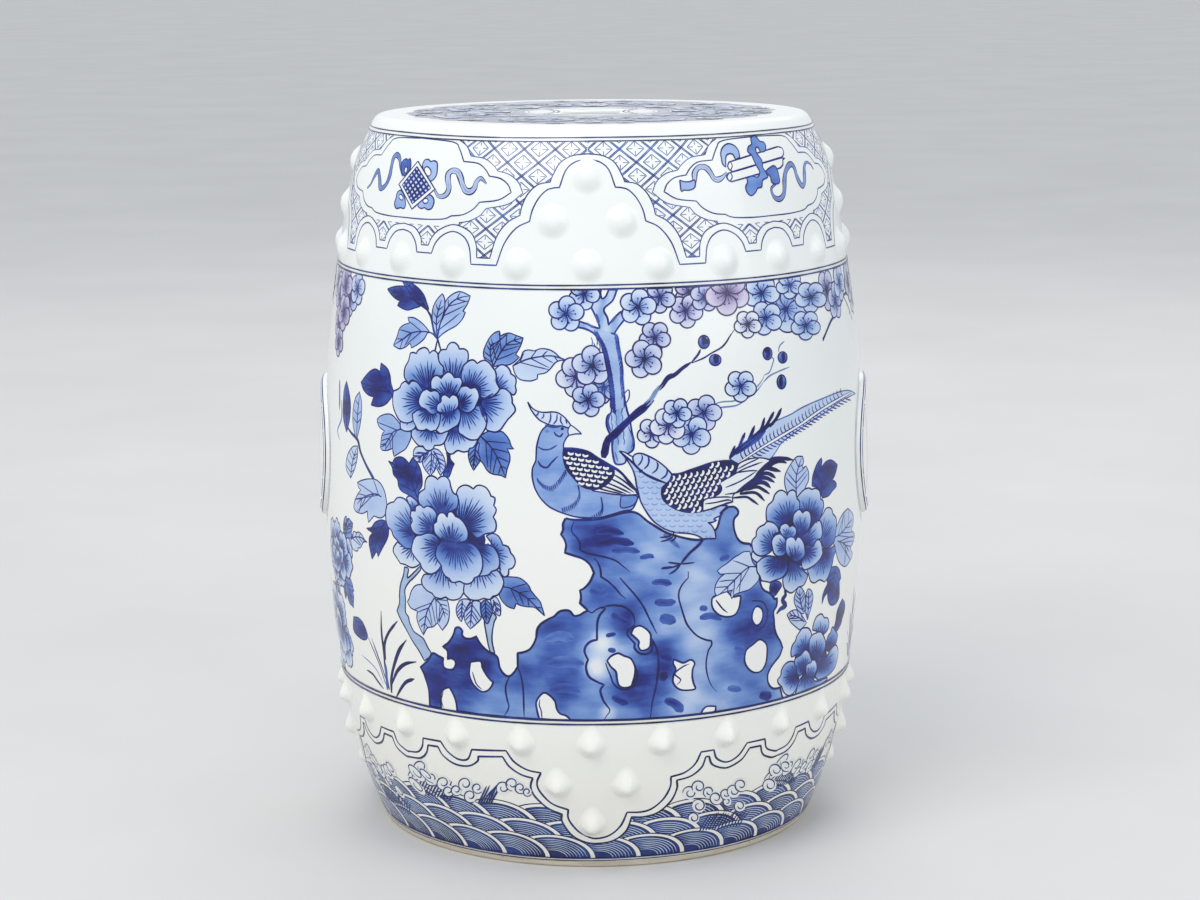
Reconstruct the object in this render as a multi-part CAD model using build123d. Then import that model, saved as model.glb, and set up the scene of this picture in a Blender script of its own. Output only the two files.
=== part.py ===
from build123d import *
import os
from math import asin, atan2, cos, hypot, sin, sqrt

# Glazed porcelain drum stool, in millimetres. +Z is up, the origin is at the
# middle of the foot on the floor, and -Y is the front. It is put together as
# the potter does it: a thrown drum, a slab for the seat, two pierced coin
# roundels let into the sides, and small bosses luted on with slip.

# Drum outline: three tangent arcs, at the foot, along the belly and under the
# rim. They meet at two turns, whose shares are of the height and belly radius
height = 457.0
foot_radius = 140.9
belly_radius = 175.2
rim_radius = 136.9
rim_round = 6.6
belly_height_share = 0.4626
lower_turn_height_share = 0.1915
upper_turn_height_share = 0.9035
lower_turn_radius_share = 0.9481
upper_turn_radius_share = 0.8853

# Clay thicknesses, and the bed of slip that the luted pieces sit in
wall = 9.0
seat_thickness = 12.0
foot_height = 4.0
foot_width = 12.0
slip = 0.2
overrun = 20.0

# Coin roundels, cut from a slab bent to the drum: four lens petals round a
# pierced square with hollowed sides. The seat is pierced with the same square
coin_radius = 47.0
coin_margin = 2.0
coin_relief = 2.4
coin_bevel = 1.2
petal_relief = 1.0
petal_inset = 1.0
hole_web = 1.2
hole_corner_round = 1.4
coin_height_share = 0.53

# Bosses: low domes on the shoulder, measured down from the seat, and rounded
# cones above the foot. Each has a row all round, and groups of three beyond it
boss_count = 24
group_count = 4
shoulder_boss_radius = 9.2
shoulder_boss_rise = 3.6
shoulder_row_drop = 82.0
shoulder_pair_drop = 55.5
shoulder_tip_drop = 29.0
foot_boss_radius = 9.4
foot_boss_rise = 4.8
foot_boss_nose = 3.4
foot_row_height = 88.5
foot_pair_height = 60.5
foot_tip_height = 33.5

seam_turn = 45
seat_underside = height - seat_thickness
motif_radius = coin_radius - coin_margin
coin_height = height * coin_height_share


def circle_through(a, b, c):
    """Centre and radius of the circle through three points of the outline."""
    d = 2 * (a.X * (b.Y - c.Y) + b.X * (c.Y - a.Y) + c.X * (a.Y - b.Y))
    aa, bb, cc = a.dot(a), b.dot(b), c.dot(c)
    centre = Vector((aa * (b.Y - c.Y) + bb * (c.Y - a.Y) + cc * (a.Y - b.Y)) / d,
                    (aa * (c.X - b.X) + bb * (a.X - c.X) + cc * (b.X - a.X)) / d)
    return centre, (a - centre).length


def tangent_circle(centre, joint, end):
    """Circle through end that leaves the joint tangent to the circle about
    centre. Its radius is negative where it bends the other way."""
    normal = (joint - centre).normalized()
    chord = end - joint
    radius = -chord.dot(chord) / (2 * chord.dot(normal))
    return joint - normal * radius, radius


lower_turn = Vector(belly_radius * lower_turn_radius_share, height * lower_turn_height_share)
upper_turn = Vector(belly_radius * upper_turn_radius_share, height * upper_turn_height_share)
belly_arc = circle_through(lower_turn, Vector(belly_radius, height * belly_height_share), upper_turn)
foot_arc = tangent_circle(belly_arc[0], lower_turn, Vector(foot_radius, 0))
rim_arc = tangent_circle(belly_arc[0], upper_turn, Vector(rim_radius, height))


def turns(grow):
    """Heights where the arcs meet, on the outline grown outwards by grow."""
    return [(turn + (turn - belly_arc[0]).normalized() * grow).Y for turn in (lower_turn, upper_turn)]


def arc_at(z, grow=0):
    """Centre and bend of the arc that the grown outline follows at a height."""
    low, high = turns(grow)
    return foot_arc if z < low else rim_arc if z > high else belly_arc


def on_arc(arc, z, grow=0):
    """Point of a grown arc at a height."""
    centre, bend = arc
    reach = sqrt((bend + grow) ** 2 - (z - centre.Y) ** 2)
    return Vector(centre.X + (reach if bend > 0 else -reach), z)


def skin(z, grow=0):
    """Point of the grown outline at a height, as radius and height."""
    return on_arc(arc_at(z, grow), z, grow)


def outward(z):
    """Outward normal of the outline at a height."""
    centre, bend = arc_at(z)
    return (skin(z) - centre).normalized() * (1 if bend > 0 else -1)


def outline(grow, low, high):
    """Arcs of the grown outline between two heights."""
    heights = [low] + [turn for turn in turns(grow) if low < turn < high] + [high]
    arcs = []
    for start, end in zip(heights, heights[1:]):
        middle = (start + end) / 2
        arc = arc_at(middle, grow)
        arcs.append(ThreePointArc(*[on_arc(arc, z, grow) for z in (start, middle, end)]))
    return arcs


def turned(section):
    """Solid turned about the drum's axis from a section drawn in radius and height."""
    return Rot(Z=seam_turn) * revolve(Plane.XZ * section, Axis.Z)


def ring(thickness, low, high):
    """Ring of a thickness inside the outline, between two heights."""
    ends = [Line(skin(z, -thickness), skin(z)) for z in (low, high)]
    return turned(make_face(outline(-thickness, low, high) + outline(0, low, high) + ends))


def hollow_square(radius, web, corner_round):
    """Pierced square with hollowed sides, a web inside the four petals."""
    reach = radius * sqrt(2)
    corner = (reach - sqrt(2 * ((radius + web) ** 2 - radius ** 2))) / 2
    side = ThreePointArc((corner, -corner), (reach - radius - web, 0), (corner, corner))
    square = make_face([Rot(Z=turn) * side for turn in (0, 90, 180, 270)])
    return fillet(square.vertices(), corner_round)


def petals(radius, inset):
    """The four lens petals of the coin pattern, a little apart at their tips."""
    lens = Circle(radius - inset) & Pos(radius * sqrt(2), 0) * Circle(radius - inset)
    return [Rot(Z=turn) * lens for turn in (0, 90, 180, 270)]


# The right coin faces +X
coin_plane = Plane(origin=(0, 0, coin_height), x_dir=(0, 1, 0), z_dir=(1, 0, 0))


def through_wall(sketch):
    """Prism of a sketch on the right coin's plane, from the axis out through the wall."""
    return extrude(coin_plane * sketch, belly_radius + overrun)


def bent_slab(relief):
    """Slab bent to the drum at the coins' height, from the wall's inside out to a relief."""
    at, out = skin(coin_height), outward(coin_height)
    along = Vector(-out.Y, out.X) * (coin_radius + overrun)
    section = Polyline(at - out * wall - along, at - out * wall + along,
                       at + out * relief + along, at + out * relief - along, close=True)
    return turned(make_face(section))


hole = hollow_square(motif_radius, hole_web, hole_corner_round)

# Drum wall, open at the foot, with a round opening for each coin
coin_seat = through_wall(Circle(coin_radius + slip))
drum_wall = ring(wall, foot_height, seat_underside) - coin_seat - Rot(Z=180) * coin_seat

# Bare foot rim, where the glaze is wiped off for the kiln
foot_ring = ring(foot_width, 0, foot_height)

# Seat: a slab on the drum's mouth, rolled over at the rim and pierced
seat_side = outline(0, seat_underside, height)
seat_section = make_face(seat_side + [Polyline(skin(seat_underside), (0, seat_underside), (0, height), skin(height))])
seat_rim = seat_section.vertices().group_by(Axis.Y)[-1].sort_by(Axis.X)[-1]
seat_slab = turned(fillet(seat_rim, rim_round))
seat_slab -= Pos(0, 0, seat_underside - overrun) * extrude(hole, seat_thickness + 2 * overrun)

# Coin roundels: a bevelled disc with raised petals, a little proud of the wall
coin_right = bent_slab(coin_relief) & through_wall(Circle(coin_radius))
coin_right = chamfer(coin_right.faces().sort_by(Axis.X)[-1].edges(), coin_bevel)
for petal in petals(motif_radius, petal_inset):
    coin_right += bent_slab(coin_relief + petal_relief) & through_wall(petal)
coin_right -= through_wall(hole)
coin_left = Rot(Z=180) * coin_right


# Bosses: each is turned about the wall's own normal, and sits on its slip
def boss(section, z):
    """Boss at the front of the drum at a height."""
    foot = skin(z) + outward(z) * slip
    seat = Plane(origin=(0, -foot.X, foot.Y), x_dir=(1, 0, 0), z_dir=(0, -outward(z).X, outward(z).Y))
    return seat * revolve(Plane.XZ * make_face(section), Axis.Z)


def dome(radius, rise):
    """Section of a low dome."""
    ball = (radius ** 2 + rise ** 2) / (2 * rise)
    middle = radius / 2
    crown = ThreePointArc((0, rise), (middle, rise - ball + sqrt(ball ** 2 - middle ** 2)), (radius, 0))
    return [crown, Polyline((radius, 0), (0, 0), (0, rise))]


def cone(radius, rise, nose):
    """Section of a cone with a round nose."""
    drop = rise - nose
    lean = asin(nose / hypot(radius, drop)) + atan2(drop, radius)
    tip, half, touch = [(nose * sin(a), drop + nose * cos(a)) for a in (0, lean / 2, lean)]
    return [ThreePointArc(tip, half, touch), Polyline(touch, (radius, 0), (0, 0), tip)]


def all_round(piece, start, count):
    """Copies of a piece at equal turns about the drum's axis."""
    return [Rot(Z=start + 360 / count * i) * piece for i in range(count)]


def groups(section, pair_height, tip_height):
    """Groups of three at the front, sides and back: a pair half a pitch out, and a tip."""
    pitch = 360 / boss_count
    pair, tip = boss(section, pair_height), boss(section, tip_height)
    return all_round(pair, -pitch / 2, group_count) + all_round(pair, pitch / 2, group_count) \
        + all_round(tip, 0, group_count)


shoulder_section = dome(shoulder_boss_radius, shoulder_boss_rise)
shoulder_row = all_round(boss(shoulder_section, height - shoulder_row_drop), 0, boss_count)
shoulder_groups = groups(shoulder_section, height - shoulder_pair_drop, height - shoulder_tip_drop)
foot_section = cone(foot_boss_radius, foot_boss_rise, foot_boss_nose)
foot_row = all_round(boss(foot_section, foot_row_height), 0, boss_count)
foot_groups = groups(foot_section, foot_pair_height, foot_tip_height)

parts = {
    "drum_wall": drum_wall,
    "foot_ring": foot_ring,
    "seat_slab": seat_slab,
    "coin_left": coin_left,
    "coin_right": coin_right,
    "shoulder_boss_row": Compound(shoulder_row),
    "shoulder_boss_groups": Compound(shoulder_groups),
    "foot_boss_row": Compound(foot_row),
    "foot_boss_groups": Compound(foot_groups),
}

os.makedirs("parts", exist_ok=True)
for node, piece in parts.items():
    export_step(piece, f"parts/{node}.step")
    print(node, len(piece.solids()), round(piece.volume))
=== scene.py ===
import random
from math import acos, atan2, ceil, cos, degrees, pi, radians, sin, sqrt

import bmesh
import bpy
import numpy as np
from mathutils import Matrix
from mathutils.geometry import delaunay_2d_cdt


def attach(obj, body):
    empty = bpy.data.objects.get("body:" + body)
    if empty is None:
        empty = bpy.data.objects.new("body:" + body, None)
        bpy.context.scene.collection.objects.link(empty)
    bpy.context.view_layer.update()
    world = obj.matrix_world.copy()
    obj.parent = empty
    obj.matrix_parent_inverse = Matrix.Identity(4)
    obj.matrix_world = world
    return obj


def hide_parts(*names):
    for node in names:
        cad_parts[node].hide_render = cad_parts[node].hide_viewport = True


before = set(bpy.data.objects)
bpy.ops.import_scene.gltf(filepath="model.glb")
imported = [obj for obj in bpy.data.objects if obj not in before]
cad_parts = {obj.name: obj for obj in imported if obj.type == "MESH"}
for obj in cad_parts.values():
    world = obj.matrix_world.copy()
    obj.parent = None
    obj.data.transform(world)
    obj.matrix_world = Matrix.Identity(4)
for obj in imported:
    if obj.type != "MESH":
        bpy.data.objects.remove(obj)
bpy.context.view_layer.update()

# Sizes in millimetres, as in the part's own source
height, belly_radius, foot_radius, rim_radius = 457.0, 175.2, 140.9, 136.9
rim_round, wall, seat_thickness, foot_height, foot_width = 6.6, 9.0, 12.0, 4.0, 12.0
seat_underside = height - seat_thickness
coin_radius, coin_relief, petal_relief, coin_height = 47.0, 2.4, 1.0, height * 0.53
motif_radius, hole_web = 45.0, 1.2
petal_reach = motif_radius * sqrt(2)

# The bare glaze lies this far under the clay's skin, which leaves room for the
# painted layers: how far over it the first one is, and how far each is over the last
glaze_sink, first_lift, layer_step = 0.42, 0.02, 0.009
# Sides of a turned piece, how close the points of washes and lines lie, and the
# heights that the garden scene is kept between
around, wash_mesh, line_mesh = 240, 2.4, 2.0
garden_low, garden_high = 101.7, 362.6

# The photograph's size in pixels, and the camera fitted to it, in millimetres,
# pixels and degrees
photo_width, photo_height = 1200, 900
camera_distance, camera_height, camera_zoom = 1800.54, 569.05, 2803.76
camera_walk, camera_pitch, camera_yaw, camera_roll = 0.986, 10.4617, 0.1284, -0.4101


def add_object(name, data):
    made = bpy.data.objects.new(name, data)
    bpy.context.scene.collection.objects.link(made)
    return made


def stand(made, spot, *axes):
    """Puts an object at a spot in metres with its own axes along these."""
    place = Matrix.Identity(4)
    for column, axis in enumerate((*axes, spot)):
        for row in range(3):
            place[row][column] = axis[row]
    made.matrix_world = place


def camera_axes():
    """Where the camera stands, and its forward, right and up directions."""
    turn, pitch, yaw, roll = (radians(a) for a in (camera_walk, camera_pitch, camera_yaw, camera_roll))
    forward = np.array([sin(yaw) * cos(pitch), cos(yaw) * cos(pitch), -sin(pitch)])
    right = np.array([cos(yaw), -sin(yaw), 0.0])
    up = np.cross(right, forward)
    right, up = cos(roll) * right + sin(roll) * up, -sin(roll) * right + cos(roll) * up
    spin = np.array([[cos(turn), -sin(turn), 0], [sin(turn), cos(turn), 0], [0, 0, 1]])
    return [spin @ axis for axis in (np.array([0, -camera_distance, camera_height]), forward, right, up)]


eye, forward, rightward, upward = camera_axes()


def set_up_camera():
    data = bpy.data.cameras.new("camera")
    data.sensor_width = 36
    data.lens = data.sensor_width * camera_zoom / photo_width
    camera = add_object("camera", data)
    stand(camera, eye / 1000, rightward, upward, -forward)
    bpy.context.scene.camera = camera


# The drum's outline: three tangent arcs, in the plane of radius and height
def circle_through(a, b, c):
    """Centre and bend of the circle through three points, radius + height * 1j."""
    d = 2 * (a.real * (b.imag - c.imag) + b.real * (c.imag - a.imag) + c.real * (a.imag - b.imag))
    aa, bb, cc = abs(a) ** 2, abs(b) ** 2, abs(c) ** 2
    centre = complex((aa * (b.imag - c.imag) + bb * (c.imag - a.imag) + cc * (a.imag - b.imag)) / d,
                     (aa * (c.real - b.real) + bb * (a.real - c.real) + cc * (b.real - a.real)) / d)
    return centre, abs(a - centre)


def tangent_circle(centre, joint, end):
    """Circle through end that leaves the joint tangent to the circle about centre."""
    normal = (joint - centre) / abs(joint - centre)
    chord = end - joint
    bend = -abs(chord) ** 2 / (2 * (chord * normal.conjugate()).real)
    return joint - normal * bend, bend


lower_turn = complex(belly_radius * 0.9481, height * 0.1915)
upper_turn = complex(belly_radius * 0.8853, height * 0.9035)
belly_arc = circle_through(lower_turn, complex(belly_radius, height * 0.4626), upper_turn)
foot_arc = tangent_circle(belly_arc[0], lower_turn, complex(foot_radius, 0))
rim_arc = tangent_circle(belly_arc[0], upper_turn, complex(rim_radius, height))
# The round over the rim touches the side and the flat of the seat
rim_middle = complex(rim_arc[0].real + sqrt((rim_arc[1] - rim_round) ** 2
                     - (height - rim_round - rim_arc[0].imag) ** 2), height - rim_round)
rim_lean = atan2(rim_middle.imag - rim_arc[0].imag, rim_middle.real - rim_arc[0].real)
rim_start = (rim_middle + rim_round * complex(cos(rim_lean), sin(rim_lean))).imag


def skin(z, grow=0.0):
    """Radius of the outline at heights z, and its outward normal, the outline grown by grow."""
    z = np.asarray(z, float)
    radius, out, rise = np.empty_like(z), np.empty_like(z), np.empty_like(z)
    turns = [(t + grow * (t - belly_arc[0]) / abs(t - belly_arc[0])).imag for t in (lower_turn, upper_turn)]
    for (centre, bend), here in ((foot_arc, z < turns[0]), (rim_arc, z > turns[1]),
                                 (belly_arc, (z >= turns[0]) & (z <= turns[1]))):
        reach = np.sqrt(np.maximum((bend + grow) ** 2 - (z[here] - centre.imag) ** 2, 1))
        radius[here] = centre.real + reach
        out[here], rise[here] = reach / (bend + grow), (z[here] - centre.imag) / (bend + grow)
    return radius, out, rise


def radius_at(z):
    return float(skin(z)[0])


# Paper is what is drawn on. It is wrapped on to the drum, the seat or a coin
def on_drum(paper, lift=0.0):
    """Points of the drum and their normals. Paper is degrees round from the
    front towards +X, and height. Lift is in millimetres over the bare glaze."""
    angle, z = np.radians(paper[:, 0]), paper[:, 1]
    radius, out, rise = skin(z)
    raised = lift - glaze_sink
    radius, z = radius + out * raised, z + rise * raised
    return (np.stack([radius * np.sin(angle), -radius * np.cos(angle), z], 1),
            np.stack([out * np.sin(angle), -out * np.cos(angle), rise], 1))


def on_seat(paper, lift=0.0):
    """Points of the flat of the seat. Paper is x and y in millimetres."""
    flat = np.zeros(len(paper))
    return (np.stack([paper[:, 0], paper[:, 1], flat + height - glaze_sink + lift], 1),
            np.stack([flat, flat, flat + 1], 1))


def seen(pixels):
    """Degrees round the drum and height of the places seen at pixels of the photograph."""
    rays = (forward * camera_zoom + np.outer(pixels[:, 0] - photo_width / 2, rightward)
            + np.outer(photo_height / 2 - pixels[:, 1], upward))
    rays /= np.linalg.norm(rays, axis=1)[:, None]
    flat = np.hypot(rays[:, 0], rays[:, 1])
    # Each ray is halved between where it passes the axis and well outside the drum
    well_outside, halvings, highest = 230.0, 34, height - 4
    far = -(eye[0] * rays[:, 0] + eye[1] * rays[:, 1]) / flat ** 2
    near = far - well_outside
    for _ in range(halvings):
        middle = (near + far) / 2
        spot = eye + middle[:, None] * rays
        outside = np.hypot(spot[:, 0], spot[:, 1]) > skin(np.clip(spot[:, 2], 0, highest))[0]
        near, far = np.where(outside, middle, near), np.where(outside, far, middle)
    spot = eye + near[:, None] * rays
    return np.stack([np.degrees(np.arctan2(spot[:, 0], -spot[:, 1])), spot[:, 2]], 1)


# Glazes and finishes
def tree_of(name):
    """A new material with its nodes, and a short way to add and wire them: an
    input is given by its name, or by an underscore and its number."""
    material = bpy.data.materials.new(name)
    material.use_nodes = True
    nodes, links = material.node_tree.nodes, material.node_tree.links

    def node(kind, settings=None, **inputs):
        made = nodes.new(kind)
        for key, value in (settings or {}).items():
            setattr(made, key, value)
        for key, value in inputs.items():
            socket = made.inputs[int(key[1:]) if key[0] == "_" else key]
            if isinstance(value, bpy.types.NodeSocket):
                links.new(value, socket)
            else:
                socket.default_value = value
        return made

    return material, nodes["Principled BSDF"], node, links


def speckle(node, where, scale, detail=2.0, rough=0.5, stretch=None):
    """Noise over the piece's own place, from 0 to 1."""
    if stretch:
        where = node("ShaderNodeMapping", Vector=where, Scale=stretch).outputs[0]
    noise = node("ShaderNodeTexNoise", Vector=where, Scale=scale, Detail=detail, Roughness=rough)
    return noise.outputs["Fac"]


def worked(node, how, a, b, clamp=False):
    return node("ShaderNodeMath", {"operation": how, "use_clamp": clamp}, _0=a, _1=b).outputs[0]


def ramp(node, fac, *stops):
    made = node("ShaderNodeValToRGB", Fac=fac)
    points = made.color_ramp.elements
    while len(points) < len(stops):
        points.new(0.5)
    for point, (place, colour) in zip(points, stops):
        point.position = place
        point.color = (*colour, 1)
    return made.outputs[0]


def blend_of(node, fac, a, b, how="MIX"):
    return node("ShaderNodeMix", {"data_type": "RGBA", "blend_type": how}, _0=fac, _6=a, _7=b).outputs[2]


def bumped(node, links, surface, strength, distance, waves):
    bump = node("ShaderNodeBump", Strength=strength, Distance=distance, Height=waves)
    links.new(bump.outputs[0], surface.inputs["Normal"])


cool_white, bright_white, foot_white = (0.80, 0.83, 0.82), (0.845, 0.865, 0.85), (0.86, 0.845, 0.785, 1)
iron_speck, kiln_grit = (0.35, 0.30, 0.24, 1), (0.30, 0.22, 0.14, 1)
dark_clay, pale_clay = (0.56, 0.49, 0.39), (0.72, 0.66, 0.55)
# Pigments, from a bare brush to a full one
cobalt = ((0.0, (1, 1, 1)), (0.12, (0.72, 0.81, 0.98)), (0.26, (0.50, 0.63, 0.94)), (0.45, (0.19, 0.34, 0.76)),
          (0.65, (0.05, 0.13, 0.52)), (0.84, (0.010, 0.020, 0.25)), (1.0, (0.004, 0.006, 0.09)))
burnt_cobalt = ((0.0, (1, 1, 1)), (0.15, (0.84, 0.77, 0.92)), (0.35, (0.52, 0.40, 0.66)), (0.6, (0.16, 0.09, 0.27)),
                (1.0, (0.012, 0.008, 0.035)))
sea_cobalt = ((0.0, (1, 1, 1)), (0.15, (0.68, 0.80, 0.86)), (0.45, (0.15, 0.30, 0.48)), (0.7, (0.022, 0.075, 0.20)),
              (1.0, (0.004, 0.008, 0.03)))


def glazed(name, painted):
    """White glaze, cool above and warmer near the foot, with a few iron specks.
    Painted, the piece's own pigment tints it: red is how deep the cobalt is,
    green how violet it has burnt and blue how grey-green."""
    material, surface, node, links = tree_of(name)
    times = lambda a, b: worked(node, "MULTIPLY", a, b)
    plus = lambda a, b: worked(node, "ADD", a, b)
    place = node("ShaderNodeTexCoord").outputs["Object"]
    low = node("ShaderNodeSeparateXYZ", Vector=place).outputs["Z"]
    low = node("ShaderNodeMapRange", _0=low, _1=0.02, _2=0.30, _3=1.0, _4=0.0).outputs[0]
    white = ramp(node, speckle(node, place, 9, 3), (0.3, cool_white), (0.7, bright_white))
    white = blend_of(node, low, white, foot_white)
    specks = node("ShaderNodeTexVoronoi", Vector=place, Scale=260.0).outputs["Distance"]
    specks = times(worked(node, "LESS_THAN", specks, 0.055),
                   worked(node, "GREATER_THAN", speckle(node, place, 40), 0.62))
    colour = blend_of(node, times(specks, 0.5), white, iron_speck)
    if painted:
        pigment = node("ShaderNodeAttribute", {"attribute_name": "pigment"}).outputs["Color"]
        depth, violet, grey = node("ShaderNodeSeparateColor", Color=pigment).outputs[:3]
        streaks, pools = speckle(node, place, 30, 4, 0.6, (1, 1, 3.2)), speckle(node, place, 75, 2)
        flow = plus(times(streaks, 0.75), times(pools, 0.35))
        depth = worked(node, "MULTIPLY", depth, plus(flow, 0.47), True)
        blue = blend_of(node, violet, ramp(node, depth, *cobalt), ramp(node, depth, *burnt_cobalt))
        tint = blend_of(node, grey, blue, ramp(node, depth, *sea_cobalt))
        colour = blend_of(node, 1.0, colour, tint, "MULTIPLY")
    links.new(colour, surface.inputs["Base Color"])
    gloss = node("ShaderNodeMapRange", _0=speckle(node, place, 22), _3=0.07, _4=0.15).outputs[0]
    links.new(gloss, surface.inputs["Roughness"])
    waves = plus(times(speckle(node, place, 16, 1), 1.0), times(speckle(node, place, 130, 1), 0.06))
    bumped(node, links, surface, 0.35, 0.0012, waves)
    surface.inputs["IOR"].default_value = 1.5
    return material


def bare_clay():
    """Unglazed clay at the foot and inside, with throwing lines and kiln grit."""
    material, surface, node, links = tree_of("bare_clay")
    place = node("ShaderNodeTexCoord").outputs["Object"]
    lines, grit = speckle(node, place, 60, 3, 0.6, (1, 1, 9)), speckle(node, place, 420, 2)
    colour = ramp(node, lines, (0.3, dark_clay), (0.7, pale_clay))
    dark = node("ShaderNodeMapRange", _0=grit, _1=0.62, _2=0.75).outputs[0]
    colour = blend_of(node, worked(node, "MULTIPLY", dark, 0.5), colour, kiln_grit)
    links.new(colour, surface.inputs["Base Color"])
    surface.inputs["Roughness"].default_value = 0.85
    bumped(node, links, surface, 0.5, 0.0006, worked(node, "ADD", lines, grit))
    return material


white_glaze = glazed("white_glaze", False)
painted_glaze = glazed("cobalt_under_glaze", True)
foot_clay = bare_clay()


# Meshes in hand
def make_piece(name, points, faces, *materials):
    """An object from points in millimetres."""
    mesh = bpy.data.meshes.new(name)
    mesh.from_pydata((np.asarray(points) / 1000).tolist(), [], faces)
    mesh.validate()
    mesh.shade_smooth()
    for material in materials:
        mesh.materials.append(material)
    return add_object(name, mesh)


def read_back(rows, key):
    """The three numbers that each point or face of a mesh has under a name."""
    values = np.zeros(len(rows) * 3)
    rows.foreach_get(key, values)
    return values.reshape(-1, 3)


def weld(made, sharp_over):
    """Joins the points that lie on each other, turns the faces outwards and
    keeps edges sharp over so many degrees."""
    body = bmesh.new()
    body.from_mesh(made.data)
    bmesh.ops.remove_doubles(body, verts=body.verts, dist=2e-6)
    bmesh.ops.recalc_face_normals(body, faces=body.faces)
    body.to_mesh(made.data)
    body.free()
    made.data.set_sharp_from_angle(angle=radians(sharp_over))
    return made


def evaluated(made):
    """The mesh that an object has with its modifiers."""
    bpy.context.view_layer.update()
    return bpy.data.meshes.new_from_object(made.evaluated_get(bpy.context.evaluated_depsgraph_get()))


def turned(profile, closed=True):
    """Points and faces of a section turned about the axis. The section runs
    with the clay on its left, so the faces look outwards."""
    angles = np.arange(around) * 2 * pi / around
    radius, z = np.array(profile).T
    points = np.stack([np.outer(np.sin(angles), radius), -np.outer(np.cos(angles), radius),
                       np.tile(z, (around, 1))], 2).reshape(-1, 3)
    rows = len(profile)
    faces = []
    for i in range(around):
        j = (i + 1) % around
        for k in range(rows if closed else rows - 1):
            m = (k + 1) % rows
            faces.append((i * rows + k, j * rows + k, j * rows + m, i * rows + m))
    return points, faces


def joined(a, b, n, flip=False):
    """Faces between two rings of n points each, that start at a and at b."""
    faces = [(a + i, b + i, b + (i + 1) % n, a + (i + 1) % n) for i in range(n)]
    return [face[:1] + face[:0:-1] for face in faces] if flip else faces


def arc_of(radius, turn):
    """Points of an arc about the middle, at turns in radians."""
    return np.stack([radius * np.cos(turn), radius * np.sin(turn)], 1)


def circle_of(radius):
    return arc_of(radius, np.arange(150) * 2 * pi / 150)


def square_hole(grow=0.0):
    """Outline of the pierced square with hollowed sides, counter-clockwise, opened out by grow."""
    bend = motif_radius + hole_web
    corner = (petal_reach - sqrt(2 * bend ** 2 - petal_reach ** 2)) / 2
    span = atan2(corner, petal_reach - corner)
    blunt = 0.55
    points = []
    for side in range(4):
        turn = side * pi / 2
        sweep = np.linspace(-1, 1, 19) * (span - 0.035)
        x, y = petal_reach - bend * np.cos(sweep), bend * np.sin(sweep)
        x, y = np.append(x, corner - blunt), np.append(y, corner - blunt)
        points += list(np.stack([x * cos(turn) - y * sin(turn), x * sin(turn) + y * cos(turn)], 1))
    points = np.array(points)
    along = np.roll(points, -1, 0) - np.roll(points, 1, 0)
    outward = np.stack([along[:, 1], -along[:, 0]], 1) / np.hypot(along[:, 0], along[:, 1])[:, None]
    return points + outward * grow


def inside(points, loop):
    """Which points lie inside a closed line."""
    x, y = points[:, 0:1], points[:, 1:2]
    a, b = loop, np.roll(loop, -1, 0)
    cross = (a[:, 1] > y) != (b[:, 1] > y)
    rise = np.where(b[:, 1] == a[:, 1], 1e-9, b[:, 1] - a[:, 1])
    return (cross & (x < (b[:, 0] - a[:, 0]) * (y - a[:, 1]) / rise + a[:, 0])).sum(1) % 2 == 1


def sheet(loops, extra=()):
    """Triangles that fill the first loop and leave the others open. Returns points and faces."""
    points, edges = [], []
    for loop in loops:
        start = len(points)
        points += [tuple(p) for p in loop]
        edges += [(start + i, start + (i + 1) % len(loop)) for i in range(len(loop))]
    points += [tuple(p) for p in extra]
    flat, _, faces = delaunay_2d_cdt([tuple(map(float, p)) for p in points], edges, [], 0, 1e-6)[:3]
    flat = np.array([tuple(p) for p in flat])
    if not len(faces):
        return flat, []
    corners = np.array(faces)
    middles = flat[corners].mean(1)
    keep = inside(middles, np.asarray(loops[0]))
    for loop in loops[1:]:
        keep &= ~inside(middles, np.asarray(loop))
    corners = corners[keep]
    a, b, c = flat[corners[:, 0]], flat[corners[:, 1]], flat[corners[:, 2]]
    area = (b[:, 0] - a[:, 0]) * (c[:, 1] - a[:, 1]) - (b[:, 1] - a[:, 1]) * (c[:, 0] - a[:, 0])
    corners[area < 0] = corners[area < 0][:, ::-1]
    return flat, corners.tolist()


# The drum itself
def coin_cutter():
    """A plug through the wall at each side, where a coin is let in. It is a
    little smaller than the coin, so that no gap shows."""
    points, faces, n, reach, inner_end, outer_end = [], [], 96, coin_radius - 0.6, 120, 200
    for side in (-1, 1):
        start = len(points)
        for x in (inner_end * side, outer_end * side):
            for k in range(n):
                a = 2 * pi * k / n * side
                points.append((x, reach * cos(a), coin_height + reach * sin(a)))
        faces += joined(start, start + n, n, flip=True)
        faces += [tuple(start + k for k in reversed(range(n))), tuple(start + n + k for k in range(n))]
    return make_piece("cutter", points, faces, foot_clay)


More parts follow.
